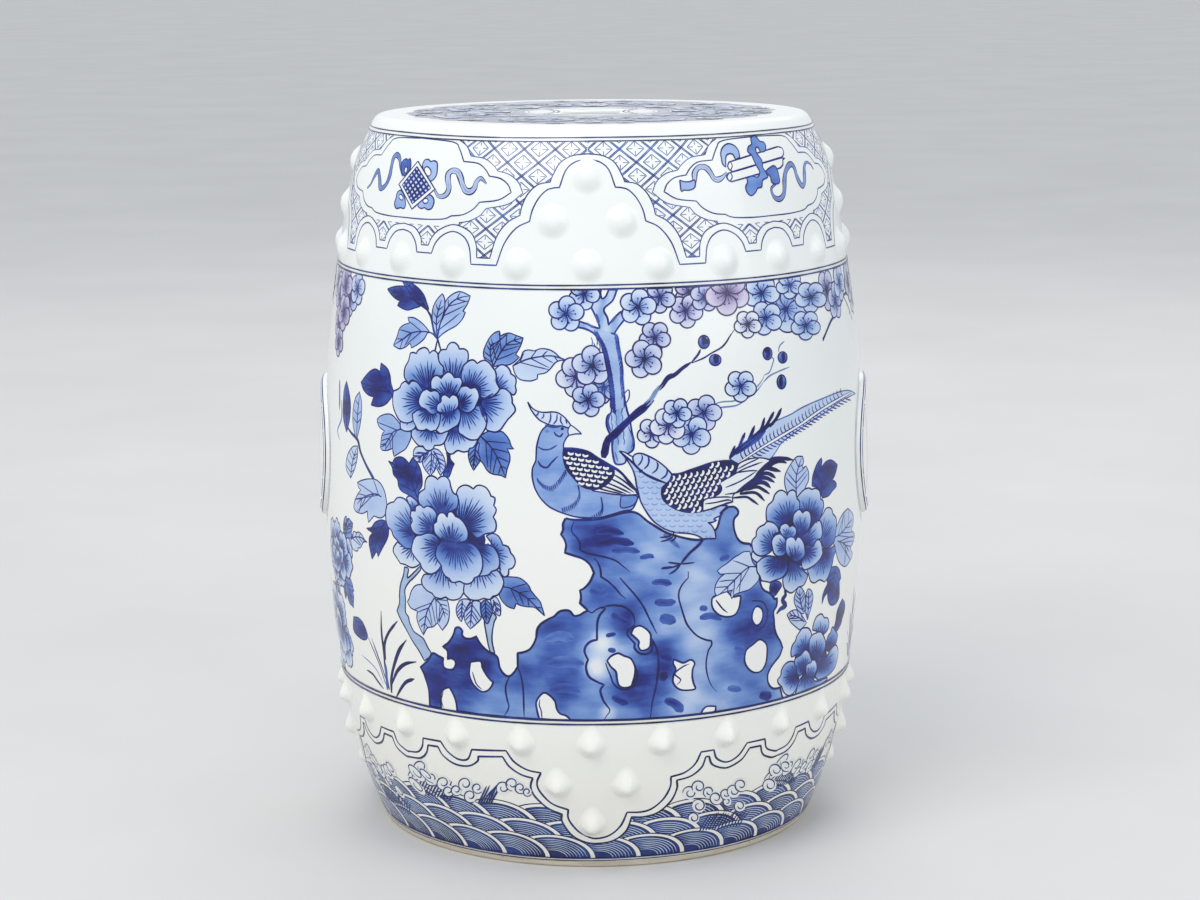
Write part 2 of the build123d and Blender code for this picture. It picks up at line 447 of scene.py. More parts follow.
def throw_drum():
    """The glazed wall, open at both sides for the coins, bare clay inside."""
    # The glaze ends over the foot in a small round, and the wall in so many rows
    edge_round, rows = 0.7, 99
    rise = np.linspace(foot_height + edge_round, seat_underside, rows)
    outer, inner = skin(rise, -glaze_sink)[0], skin(rise, -wall)[0]
    profile = [(inner[0], foot_height), (outer[0] - 0.9, foot_height), (outer[0] - 0.25, foot_height + 0.2)]
    profile += list(zip(outer, rise)) + list(zip(inner[::-1], rise[::-1]))
    blank, cutter = make_piece("blank", *turned(profile), white_glaze), coin_cutter()
    cut = blank.modifiers.new("coin_openings", "BOOLEAN")
    cut.object, cut.operation, cut.solver = cutter, "DIFFERENCE", "EXACT"
    mesh = evaluated(blank)
    for spare in (blank, cutter):
        bpy.data.objects.remove(spare)
    mesh.name = "drum_glaze"
    mesh.materials.clear()
    for material in (white_glaze, foot_clay):
        mesh.materials.append(material)
    # Normals follow the outline wherever a face does, and are flat at the cuts.
    # A face is bare if it looks inwards or lies this deep under the outline
    follows, outwards, bare_depth = 0.9, 0.3, 4
    where, facing = read_back(mesh.vertices, "co") * 1000, read_back(mesh.polygons, "normal")
    reach = np.hypot(where[:, 0], where[:, 1])
    radius, out, up = skin(np.clip(where[:, 2], 0, height - 2))
    smooth = np.stack([where[:, 0] / reach * out, where[:, 1] / reach * out, up], 1)
    normals, bare = np.zeros((len(mesh.loops), 3)), np.zeros(len(mesh.polygons), np.int32)
    for polygon in mesh.polygons:
        corners, flat = list(polygon.vertices), facing[polygon.index]
        direction = float((smooth[corners].mean(0) * flat).sum())
        span = slice(polygon.loop_start, polygon.loop_start + polygon.loop_total)
        normals[span] = smooth[corners] * (1 if direction > 0 else -1) if abs(direction) > follows else flat
        glazed_face = direction > outwards and (reach - radius)[corners].mean() > -bare_depth
        bare[polygon.index] = 0 if glazed_face else 1
    mesh.polygons.foreach_set("material_index", bare)
    mesh.shade_smooth()
    mesh.normals_split_custom_set(normals.tolist())
    return add_object("drum_glaze", mesh)


def seat_and_rim():
    """The seat, rolled over at the rim and pierced through the middle."""
    side = np.linspace(seat_underside, rim_start, 4)
    profile = list(zip(skin(side, -glaze_sink)[0], side))
    roll = rim_round - glaze_sink
    for k in range(1, 10):
        a = rim_lean + (pi / 2 - rim_lean) * k / 9
        profile.append((rim_middle.real + roll * cos(a), rim_middle.imag + roll * sin(a)))
    points, faces = turned(profile, closed=False)
    points, rows, top = list(points), len(profile), height - glaze_sink
    # The hole's edge is softened over this much, and is a hair wider than the solid's
    soft, wider = 1.8, 0.02
    bends = np.linspace(0, pi / 2, 6)
    rolled = [square_hole(soft * (1 - sin(a)) + wider) for a in bends]

    def fill(flat_points, triangles, z, way):
        start = len(points)
        points.extend((x, y, z) for x, y in flat_points)
        faces.extend(tuple(start + i for i in t[::way]) for t in triangles)

    base, rim = (np.array([points[i * rows + k][:2] for i in range(around)]) for k in (0, rows - 1))
    # A second ring of points just inside the rim keeps the flat's shading even
    inner_rim = rim * ((rim_middle.real - 6) / rim_middle.real)
    fill(*sheet([rim[::-1], rolled[0]], extra=inner_rim), top, 1)
    fill(*sheet([base[::-1], rolled[-1]]), seat_underside, -1)
    # The sides of the pierced square
    levels = [(loop, top - soft * (1 - cos(a))) for loop, a in zip(rolled, bends)] + [(rolled[-1], seat_underside)]
    start, n = len(points), len(rolled[0])
    for loop, z in levels:
        points.extend((x, y, z) for x, y in loop)
    for k in range(len(levels) - 1):
        faces += joined(start + k * n, start + (k + 1) * n, n, flip=True)
    made = weld(make_piece("seat_glaze", points, faces, white_glaze, foot_clay), 50)
    under = [int(p.normal.z < -0.7 and p.center.z * 1000 < seat_underside + 1) for p in made.data.polygons]
    made.data.polygons.foreach_set("material_index", under)
    return made


def foot_rim():
    """The bare clay the drum stands on, its edges worn round."""
    glaze_thickness = 0.75
    outer = lambda z: radius_at(z) - glaze_thickness
    inner = radius_at(foot_height) - foot_width
    profile = [(inner, foot_height), (inner, 0.9), (inner + 0.3, 0.3), (inner + 1.0, 0.02),
               (outer(0.2) - 1.6, 0.02), (outer(0.4) - 0.7, 0.15), (outer(0.9) - 0.2, 0.5), (outer(1.5), 1.2),
               (outer(2.6), 2.6), (outer(foot_height), foot_height)]
    return weld(make_piece("foot_clay_rim", *turned(profile), foot_clay), 50)


# Pierced coins: how far the edge rolls over and how wide, how wide the petals'
# slopes are, and how deep and wide the groove round the hole is
edge_drop, edge_roll, petal_slope, groove_depth, groove_width = 2.0, 2.6, 2.4, 1.3, 1.6


def soften(x):
    """Smooth rise from 0 to 1."""
    x = np.clip(x, 0, 1)
    return x * x * (3 - 2 * x)


def coin_swell(u, v):
    """Relief of the coin over the slab, across and up from its middle."""
    radius = np.hypot(u, v)
    edge = np.clip((coin_radius - radius) / edge_roll, 0, 1)
    relief = -edge_drop + (coin_relief + edge_drop) * np.sqrt(np.clip(1 - (1 - edge) ** 2, 0, 1))
    to_hole = np.full_like(radius, -99.0)
    for cu, cv in ((petal_reach, 0), (-petal_reach, 0), (0, petal_reach), (0, -petal_reach)):
        away = np.hypot(u - cu, v - cv)
        within = np.minimum(motif_radius - 1 - radius, motif_radius - 1 - away)
        relief += petal_relief * soften(within / petal_slope + 0.15)
        to_hole = np.maximum(to_hole, motif_radius + hole_web - away)
    return relief - groove_depth * (1 - soften(to_hole / groove_width)) ** 2


def on_coin(paper, lift=0.0, side=1):
    """Points of a coin's face, across and up from its middle, and their normals."""
    start, out, rise = (values[0] for values in skin(np.array([coin_height])))

    def place(u, v):
        relief = coin_swell(u, v) + lift - glaze_sink
        radius = start + out * relief - v * rise / out
        angle = np.arcsin(np.clip(u / radius, -1, 1)) + pi / 2 * side
        return np.stack([radius * np.sin(angle), -radius * np.cos(angle), coin_height + v + rise * relief], 1)

    u, v = paper[:, 0], paper[:, 1]
    beside = 0.15
    normal = np.cross(place(u + beside, v) - place(u - beside, v), place(u, v + beside) - place(u, v - beside))
    return place(u, v), normal / np.linalg.norm(normal, axis=1)[:, None]


def coin(side, name):
    """A pierced coin let into the wall: relief face, pierced sides and a back."""
    grid = np.array([(i + (j % 2) * 0.5, j * 0.87) for j in range(-52, 53) for i in range(-46, 47)])
    grid = grid[(np.hypot(grid[:, 0], grid[:, 1]) < coin_radius - 3.8) & ~inside(grid, square_hole(2.0))]
    rings = [circle_of(coin_radius - d) for d in (0.25, 0.6, 1.0, 1.5, 2.0, 2.6, 3.3)]
    rings += [square_hole(g) for g in (0.4, 0.9, 1.5)]
    inner = radius_at(coin_height) - wall

    def backed(flat):
        """The points pushed back to the wall's inside."""
        places = on_coin(flat, 0.0, side)[0]
        places[:, 0] *= inner / np.hypot(places[:, 0], places[:, 1])
        return places

    face, triangles = sheet([circle_of(coin_radius), square_hole()], extra=np.vstack([*rings, grid]))
    back, back_faces = sheet([circle_of(coin_radius), square_hole()])
    points, faces = list(on_coin(face, 0.0, side)[0]), [tuple(t) for t in triangles]
    start = len(points)
    points += list(backed(back))
    faces += [tuple(start + i for i in reversed(t)) for t in back_faces]
    # Sides: pierced square and the rim that sits in the wall
    for loop, order in ((square_hole(), 1), (circle_of(coin_radius), -1)):
        start, n = len(points), len(loop)
        points += list(on_coin(loop, 0.0, side)[0]) + list(backed(loop))
        faces += [face[::order] for face in joined(start, start + n, n)]
    return weld(make_piece(name, points, faces, white_glaze), 55)


# Bosses
def row_tree():
    """Geometry Nodes: one motif repeated in a row at a pitch, then made real."""
    tree = bpy.data.node_groups.new("row_of_bosses", "GeometryNodeTree")
    for name, kind in (("Motif", "Geometry"), ("How many", "Int"), ("Pitch", "Float"), ("First", "Float"),
                       ("Height", "Float"), ("Glaze", "Material")):
        tree.interface.new_socket(name, in_out="INPUT", socket_type="NodeSocket" + kind)
    tree.interface.new_socket("Row", in_out="OUTPUT", socket_type="NodeSocketGeometry")
    given, result, step, first, line, spread, real, finish = (tree.nodes.new(kind) for kind in (
        "NodeGroupInput", "NodeGroupOutput", "ShaderNodeCombineXYZ", "ShaderNodeCombineXYZ", "GeometryNodeMeshLine",
        "GeometryNodeInstanceOnPoints", "GeometryNodeRealizeInstances", "GeometryNodeSetMaterial"))
    for start, out, end, into in (
            (given, "Pitch", step, "X"), (given, "First", first, "X"), (given, "Height", first, "Y"),
            (given, "How many", line, "Count"), (first, 0, line, "Start Location"), (step, 0, line, "Offset"),
            (line, 0, spread, "Points"), (given, "Motif", spread, "Instance"), (spread, 0, real, 0),
            (real, 0, finish, "Geometry"), (given, "Glaze", finish, "Material"), (finish, 0, result, 0)):
        tree.links.new(start.outputs[out], end.inputs[into])
    return tree


def boss_row(name, tree, swell, drop, reach, z, pitch, first):
    """Bosses of one kind all round, pressed on to the drum at a height. The row
    is laid out flat, degrees across, and then bent on to the drum. Drop is how
    far they are drawn out upwards, like a drop that hangs on the wall."""
    radius = radius_at(z)
    rings, spokes = 11, 30
    points, faces = [(0, -0.5 * drop * reach, swell(0.0))], []
    for k in range(1, rings + 1):
        share = k / rings
        for i in range(spokes):
            a = 2 * pi * (i + 0.5 * (k % 2)) / spokes
            lean = drop * max(sin(a), 0) * share
            x, y = share * cos(a) * (1 - lean), share * sin(a) * (1 + 0.5 * lean) - 0.5 * drop * (1 - share)
            points.append((degrees(reach * x / radius), reach * y, swell(share)))
    faces += [(0, 1 + i, 1 + (i + 1) % spokes) for i in range(spokes)]
    for k in range(1, rings):
        faces += joined(1 + (k - 1) * spokes, 1 + k * spokes, spokes)
    # The row is measured in degrees and millimetres, so it is taken as it stands
    made = make_piece(name, np.array(points) * 1000, faces, white_glaze)
    bend = made.modifiers.new("row", "NODES")
    bend.node_group = tree
    keys = {s.name: s.identifier for s in tree.interface.items_tree if s.in_out == "INPUT"}
    for key, value in (("How many", round(360 / pitch)), ("Pitch", pitch), ("First", first), ("Height", z),
                       ("Glaze", white_glaze)):
        bend[keys[key]] = value
    mesh = evaluated(made)
    made.modifiers.clear()
    made.data = mesh
    where = read_back(mesh.vertices, "co")
    mesh.vertices.foreach_set("co", (on_drum(where[:, :2], where[:, 2])[0] / 1000).ravel())
    mesh.update()
    mesh.shade_smooth()
    return made


# How high the two kinds of boss are, and how far their skirts lie under the glaze
dome_rise, nose_rise, skirt_sink = 3.95, 6.0, 0.03


def dome(t):
    """Low shoulder boss: a soft dome, glaze pooled round its skirt."""
    return dome_rise * (0.5 + 0.5 * cos(pi * min(1, t) ** 1.25)) - skirt_sink


def nose(t):
    """Foot boss: a rounder nose on a soft cone."""
    cone, tip = 0.5 + 0.5 * cos(pi * t), 0.5 + 0.5 * cos(pi * min(1, t * 1.25))
    return nose_rise * (0.42 * cone + 0.58 * tip) - skirt_sink


# Brushwork
def typed(text):
    """Points of a brush line as they are written: x,y pairs, a star at a sharp corner."""
    words = text.split()
    return (np.array([[float(number) for number in word.rstrip("*").split(",")] for word in words]),
            [word.endswith("*") for word in words])


def written(points):
    """Points as a brush line is written, to a tenth."""
    return " ".join("%.1f,%.1f" % tuple(p) for p in points)


def rows_of(text):
    """Rows of written brush lines. An indented line goes on from the one before."""
    return text.replace("\n  ", " ").splitlines()


def drawn(text, closed=False, step=2.2):
    """A smooth line through written points, sharp only at the starred ones."""
    points, sharp = typed(text)
    if closed:
        k = sharp.index(True) if any(sharp) else 0
        points, sharp = np.roll(points, -k, 0), sharp[k:] + sharp[:k]
        points, sharp = np.vstack([points, points[:1]]), sharp + [sharp[0]]
    cuts = [0] + [i for i in range(1, len(points) - 1) if sharp[i]] + [len(points) - 1]
    line = []
    for a, b in zip(cuts, cuts[1:]):
        run = points[a:b + 1]
        if closed and not any(sharp):
            ends = (run[-2], run[1])
        else:
            ends = (2 * run[0] - run[1], 2 * run[-1] - run[-2])
        padded = np.vstack([ends[0], run, ends[1]])
        for i in range(len(run) - 1):
            p0, p1, p2, p3 = padded[i:i + 4]
            count = max(1, int(ceil(np.hypot(*(p2 - p1)) / step)))
            t = (np.arange(count) / count)[:, None]
            line.append(0.5 * (2 * p1 + (p2 - p0) * t + (2 * p0 - 5 * p1 + 4 * p2 - p3) * t ** 2
                               + (3 * p1 - p0 - 3 * p2 + p3) * t ** 3))
    if not closed:
        line.append(points[-1:])
    return np.vstack(line)


class Brushwork:
    """Painted layers of one piece. Lines and washes are given on paper, and
    wrapped on to the clay, each layer a hair over the one before. Every stroke
    is repeated at the turns, in degrees. Cover is the part of the paper that a
    bake covers. Where paper is given, it says how what is drawn lies on it.
    Deepen is how many times deeper than written the pigment is laid."""

    def __init__(self, name, place, cover, turns=(0,), paper=None):
        self.name, self.place, self.cover, self.turns, self.paper = name, place, cover, turns, paper
        self.layer, self.parts, self.count = 0, [], 0
        self.dice, self.deepen = random.Random(name), 1.0

    def add(self, paper, faces, depth, violet, grey, points, normals):
        n = len(points)
        pigment = np.ones((n, 4), np.float32)
        pigment[:, 0], pigment[:, 1], pigment[:, 2] = np.minimum(np.asarray(depth) * self.deepen, 1), violet, grey
        x0, x1, y0, y1 = self.cover
        chart = np.stack([(paper[:, 0] - x0) / (x1 - x0), (paper[:, 1] - y0) / (y1 - y0)], 1)
        for turn in self.turns:
            c, s = cos(radians(turn)), sin(radians(turn))
            spin = np.array([[c, s, 0], [-s, c, 0], [0, 0, 1]])
            self.parts.append((points @ spin, normals @ spin, pigment, chart, np.asarray(faces) + self.count))
            self.count += n

    def on_paper(self, flat):
        return self.paper(flat) if self.paper else flat

    def lifted(self, paper, above=0.0):
        """Places and normals of the paper at this layer, or some share of a step above it."""
        return self.place(paper, first_lift + (self.layer + above) * layer_step)

    def followed(self, path, reach):
        """The path with its points close enough together to lie on the curved clay."""
        gaps = np.linalg.norm(np.diff(self.place(self.on_paper(path), 0.0)[0], axis=0), axis=1)
        counts = np.maximum(1, np.ceil(gaps / reach)).astype(int)
        runs = [a + (b - a) * (np.arange(n) / n)[:, None] for a, b, n in zip(path, path[1:], counts)]
        return np.vstack(runs + [path[-1:]])

    def wash(self, outline, depth, violet=0.0, grey=0.0):
        """A filled shape. Depth is a number, or how deep it is at each point."""
        loop = drawn(outline, True) if isinstance(outline, str) else np.asarray(outline, float)
        loop = self.followed(np.vstack([loop, loop[:1]]), wash_mesh)[:-1]
        low, high = loop.min(0), loop.max(0)
        spots = self.place(self.on_paper((low + high) / 2 + np.array([(0, 0), (0.5, 0), (0, 0.5)])), 0.0)[0]
        across, up = (wash_mesh / max(2 * np.linalg.norm(spot - spots[0]), 0.3) for spot in spots[1:])
        xs, ys = np.arange(low[0], high[0], across), np.arange(low[1], high[1], up)
        grid = np.array([(x + (j % 2) * across / 2, y) for j, y in enumerate(ys) for x in xs]).reshape(-1, 2)
        if len(grid):
            grid = grid[inside(grid, loop)]
        flat, faces = sheet([loop], extra=grid)
        if faces:
            paper = self.on_paper(flat)
            tone = depth(flat) if callable(depth) else np.full(len(flat), float(depth))
            # Drawn on the photograph, up is down the paper, so the faces turn over
            self.add(paper, np.array(faces)[:, ::-1 if self.paper else 1], tone, violet, grey, *self.lifted(paper))

    def line(self, path, width, depth, violet=0.0, grey=0.0, closed=False, taper=(0.45, 0.45), pale=0.86):
        """A brush line of a width in millimetres. Taper is how thin its ends are,
        and pale how deep its edges are beside its middle."""
        path = drawn(path, closed) if isinstance(path, str) else np.asarray(path, float)
        if closed:
            path = np.vstack([path, path[:1]])
        path = self.followed(path, line_mesh)
        paper = self.on_paper(path)
        centre, normals = self.lifted(paper, 0.5)
        side = np.cross(normals, np.gradient(centre, axis=0))
        size = np.linalg.norm(side, axis=1)[:, None]
        side = side / np.where(size < 1e-9, 1, size)
        n = len(path)
        t = np.linspace(0, 1, n)
        swell = 1 + 0.10 * np.sin(t * n * 0.35 + self.dice.random() * 6)
        if not closed:
            ends = [np.minimum(1, thin + (1 - thin) * way * 5) for thin, way in zip(taper, (t, 1 - t))]
            half = (width / 2 * (ends[0] * ends[1]) * swell)[:, None]
        else:
            half = (width / 2 * swell)[:, None]
        if width >= 0.75:
            rows, tones = (centre - side * half, centre, centre + side * half), (pale, 1, pale)
        else:
            rows, tones = (centre - side * half, centre + side * half), (1, 1)
        k, steps, faces = len(rows), np.arange(n - 1), []
        for r in range(k - 1):
            a, b = r * n + steps, (r + 1) * n + steps
            faces += [np.stack([a, a + 1, b + 1], 1), np.stack([a, b + 1, b], 1)]
        tone = np.concatenate([np.full(n, depth * f) for f in tones])
        self.add(np.tile(paper, (k, 1)), np.concatenate(faces), tone, violet, grey,
                 np.concatenate(rows), np.tile(normals, (k, 1)))

    def finished(self):
        """The layers as one piece that rides on the stool."""
        points, normals, pigment, chart, faces = (np.concatenate(values) for values in zip(*self.parts))
        points, faces = points / 1000, faces.astype(np.int32)
        a, b, c = points[faces[:, 0]], points[faces[:, 1]], points[faces[:, 2]]
        facing = (np.cross(b - a, c - a) * normals[faces[:, 0]]).sum(1)
        faces[facing < 0] = faces[facing < 0][:, ::-1]
        faces = faces[np.abs(facing) > 1e-13]
        mesh = bpy.data.meshes.new(self.name)
        mesh.vertices.add(len(points))
        mesh.vertices.foreach_set("co", points.ravel())
        mesh.loops.add(len(faces) * 3)
        mesh.loops.foreach_set("vertex_index", faces.ravel())
        mesh.polygons.add(len(faces))
        mesh.polygons.foreach_set("loop_start", np.arange(len(faces)) * 3)
        mesh.polygons.foreach_set("loop_total", np.full(len(faces), 3))
        mesh.update(calc_edges=True)
        mesh.shade_smooth()
        mesh.attributes.new("pigment", "FLOAT_COLOR", "POINT").data.foreach_set("color", pigment.ravel())
        spread = np.clip(chart[faces.ravel()], 0, 1).astype(np.float32)
        mesh.uv_layers.new(name="OFBake").data.foreach_set("uv", spread.ravel())
        mesh.materials.append(painted_glaze)
        mesh.normals_split_custom_set_from_vertices(normals.tolist())
        carry(add_object(self.name, mesh), "white_glaze")


def carry(piece, slot, *nodes):
    """The piece rides on the stool, and stands for CAD nodes where any are named."""
    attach(piece, "root")
    if nodes:
        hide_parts(*nodes)


def to(flat, spot):
    """How far each point is from a spot."""
    return np.hypot(*(flat - spot).T)


def petal(art, row):
    """A petal: pale at its rim, deep at its root, fine rays and an inked edge.
    Its row is the outline, an @, where it is rooted, and how deep its rim and
    heart are where they aren't the usual ones."""
    outline, rest = row.split("@")
    root, *tones = rest.split()
    root = np.array([float(x) for x in root.split(",")])
    rim, heart = (float(x) for x in tones or (0.13, 0.5))
    rim, heart = rim * 0.85, heart * 1.45
    loop = drawn(outline, True)
    reach = to(loop, root)
    far = reach.max()
    art.wash(outline, lambda flat: rim + (heart - rim) * np.clip(1.2 - to(flat, root) / far, 0, 1) ** 1.9)
    tips = [p for p, r in zip(loop, reach) if r > 0.5 * far][::3]
    for k, tip in enumerate(tips):
        a, b = root + (tip - root) * (0.16 + 0.06 * (k % 2)), root + (tip - root) * (0.6 + 0.13 * (k % 2))
        art.line([a, (a + b) / 2, b], 0.85, 0.88, grey=0.1, taper=(1, 0.25))
    art.line(outline, 1.0, 0.97, grey=0.1, closed=True)


def peony(art, rows):
    """A flower: petals one over another, on a deep heart that shows between them."""
    rows = rows_of(rows)
    spots = np.vstack([typed(row.split("@")[0])[0] for row in rows])
    bend = np.arange(16) * pi / 8
    heart = spots.mean(0) + spots.std(0) * 1.1 * arc_of(1, bend)
    art.wash(heart, 0.95 / art.deepen ** 1.6)
    for row in rows:
        art.layer += 1
        petal(art, row)


def leaf(art, row):
    """A leaf: a depth, its outline, and after each bar a rib that sends out veins."""
    outline, *ribs = row.split("|")
    depth, outline = outline.strip().split(" ", 1)
    depth = 0.06 + 1.3 * float(depth)
    loop = drawn(outline, True)
    spread, middle, full = (loop.max(0) - loop.min(0)).max(), loop.mean(0), min(depth, 0.72 / art.deepen ** 2)
    art.wash(outline, lambda flat: full * (0.85 + 0.45 * np.clip(1 - to(flat, middle) / spread * 1.6, 0, 1)))
    ink = 0.9 if depth < 0.4 else 1.0
    for rib in ribs:
        spine = drawn(rib)
        art.line(rib, 0.95, ink, taper=(1, 0.4))
        for at in np.linspace(0.16, 0.78, 4):
            k = int(at * (len(spine) - 1))
            along = spine[min(k + 1, len(spine) - 1)] - spine[k - 1 if k else 0]
            along = along / max(np.hypot(*along), 1e-6)
            for way in (1, -1):
                out = np.array([along[0] * 0.74 - way * along[1] * 0.67, along[1] * 0.74 + way * along[0] * 0.67])
                trail = spine[k] + np.outer(np.arange(1, 13) * spread / 22, out)
                held = inside(trail, loop)
                run = 12 if held.all() else int(np.argmin(held))
                if run > 1:
                    vein = [spine[k], trail[run // 2] + along * 0.4, trail[run - 1] + along * 1.2]
                    art.line(vein, 0.7, ink - 0.04, taper=(1, 0.3))
    art.line(outline, 0.8, ink, closed=True)


def blossom(art, x, y, size, depth, violet, turn):
    """A plum blossom: five round petals, a pale eye and a ring of stamens."""
    at = lambda r, a: (x + r * cos(radians(a)), y + r * sin(radians(a)))
    middle = np.array([x, y])
    tone = lambda flat: depth + 0.42 * np.clip(1.0 - to(flat, middle) / size * 1.2, 0, 1)
    for k in range(5):
        cx, cy = at(size * 0.58, turn + 72 * k)
        ring = [(cx + size * 0.49 * cos(t), cy + size * 0.49 * sin(t)) for t in np.arange(14) * 2 * pi / 14]
        art.wash(written(ring), tone, violet)
        art.line(written(ring), 0.95, 0.9, violet, 0.1, closed=True)
        art.layer += 1
    for k in range(15):
        a = turn + 24 * k + 12
        r = size * (0.52, 0.4, 0.46)[k % 3]
        art.line([at(size * 0.06, a), at(r, a)], 0.42, 0.88, violet, 0.1, taper=(1, 0.6))
        if k % 3 != 1:
            r += size * 0.04
            art.line([at(r, a - 5), at(r, a + 5)], 0.85, 0.9, violet, 0.1, taper=(1, 1))
    art.wash(written(at(size * 0.11, t) for t in range(0, 360, 45)), 0.85, violet)
    art.layer -= 5


# What is painted, point by point. Flowers, scenes and foam are in pixels of the
# photograph, what grows at the sides is in millimetres, and the bands' edges are
# in degrees and height. A row starts with what its reader says, such as a depth

# Peonies and leaves
upper_peony = """494,370* 500,365 505,365.5 509,369 511,374* 515,377 516,382 515,386* 516,391 513,395 506,390
  499,389 497,380 @492,392
461,383* 461,374 463,366 467,362 471,360 474,360.5 477,363.5* 481,361 485,360.5 489,363 492,367* 495,371 496,376
  496,382 499,388 499,391* 495,395 490,397.5 482,398 480,394 480,388 475,385 468,385 @468,392
408,383* 404,377 404.5,368 408,361 410,353* 413,352.5 416,353.5* 418,350 424,347.5 428,350 429,353.5* 433,350.5
  437,353 438,358 439,362* 443,367 444,374 436,378 430,386 425,388 417,383 412,380 @428,392
438,354* 441,350 446,349.5* 448,345 451,342.5 455,343 458,346 459,349* 464,349 467.5,352 468,358 467,362* 463,366
  461,372 460,380 452,386 445,380 443,372 443,367 439,362 @452,390
444,443* 445.5,450 448.5,453.5 452,454 455.5,451.5* 458,450.5 463,452 468,451 469,448.5* 473.5,447 477,440 470,440
  464,437 459,433 457,427 450,430 447,436 @455,425
412,427* 411,435 414,441 419,446 422.5,446* 425.5,450 430,450.5 433,448.5 434,445.5* 440.5,445 444,442.5 447,436
  448,431 440,433.5 430,431.5 418,430 @430,425
460,412* 468,407 475,405.5 481,407 485,412 486.5,418 486,426 483,432 480,436* 477,439.5 471,440 466,438 462,435*
  459,433 458,428 460,420 @462,404
400,428.5* 404,431 410,431 414.5,428 415.5,424 413,418 413,412 404,414 400,420 @412,412
393,391* 397,389.5 400,387 401,384 405,381.5 408.5,384.5* 411.5,381 416.5,382 420.5,387 423,392 419,397 418,403
  420,409 413,413 413,420 407,423 400,421 396,415 393,407 392.3,399 @424,402
440,414* 439,424 436,430* 440,433.5 445,432 448,431* 453,428 457.5,425 460,419 460,412 456,408 448,412 @449,410
412,414* 413,421 415.5,426* 418,430 423.5,430.5 426,429* 430.5,431.5 436,430* 439,424 440,415 436,412 426,411
  418,410 @430,409
482,399* 490,398 497,393 500,389 505,389 510,393 512,399 512,403* 514.5,407 515,411 511,416 507.5,419.5* 504,424.5
  500.5,429.5 496,432 491,431.5 486,429 487,420 485,412 481,405 @478,402
457,394* 458.5,389.5 461.5,386.5 466.5,386 470.5,388.5* 475,387.7 478,391.5 479,397.5 477,403 474.5,408.5* 470.5,412
  465.5,412.7 460.5,410 458.3,405 458.3,400 @458,406
431,389* 430.5,382 433,377 437,375.5 441,378.5* 444,374.5 448,372 452,374 454,377.5* 459.5,377.5 462,382 460,388
  456.5,393.5 449,397 441,396 436,390 @449,398
426.5,389* 422,391.5 419.5,396.5 418.3,402 420.5,407 425.5,409.5 429,413 433,414.7 437,412 436.5,408 437,404
  441,401* 440,396.5 438,392 434,390.5 430.5,391.5 @441,408
441,401.5* 441,397 444,394.7 447.5,396.3 449.3,398* 451.7,395 456,395.8 458.3,400 458.3,406 455,410 449,412.5
  441,412.7 437,411 436.3,407.5 437.5,404 @449,420"""
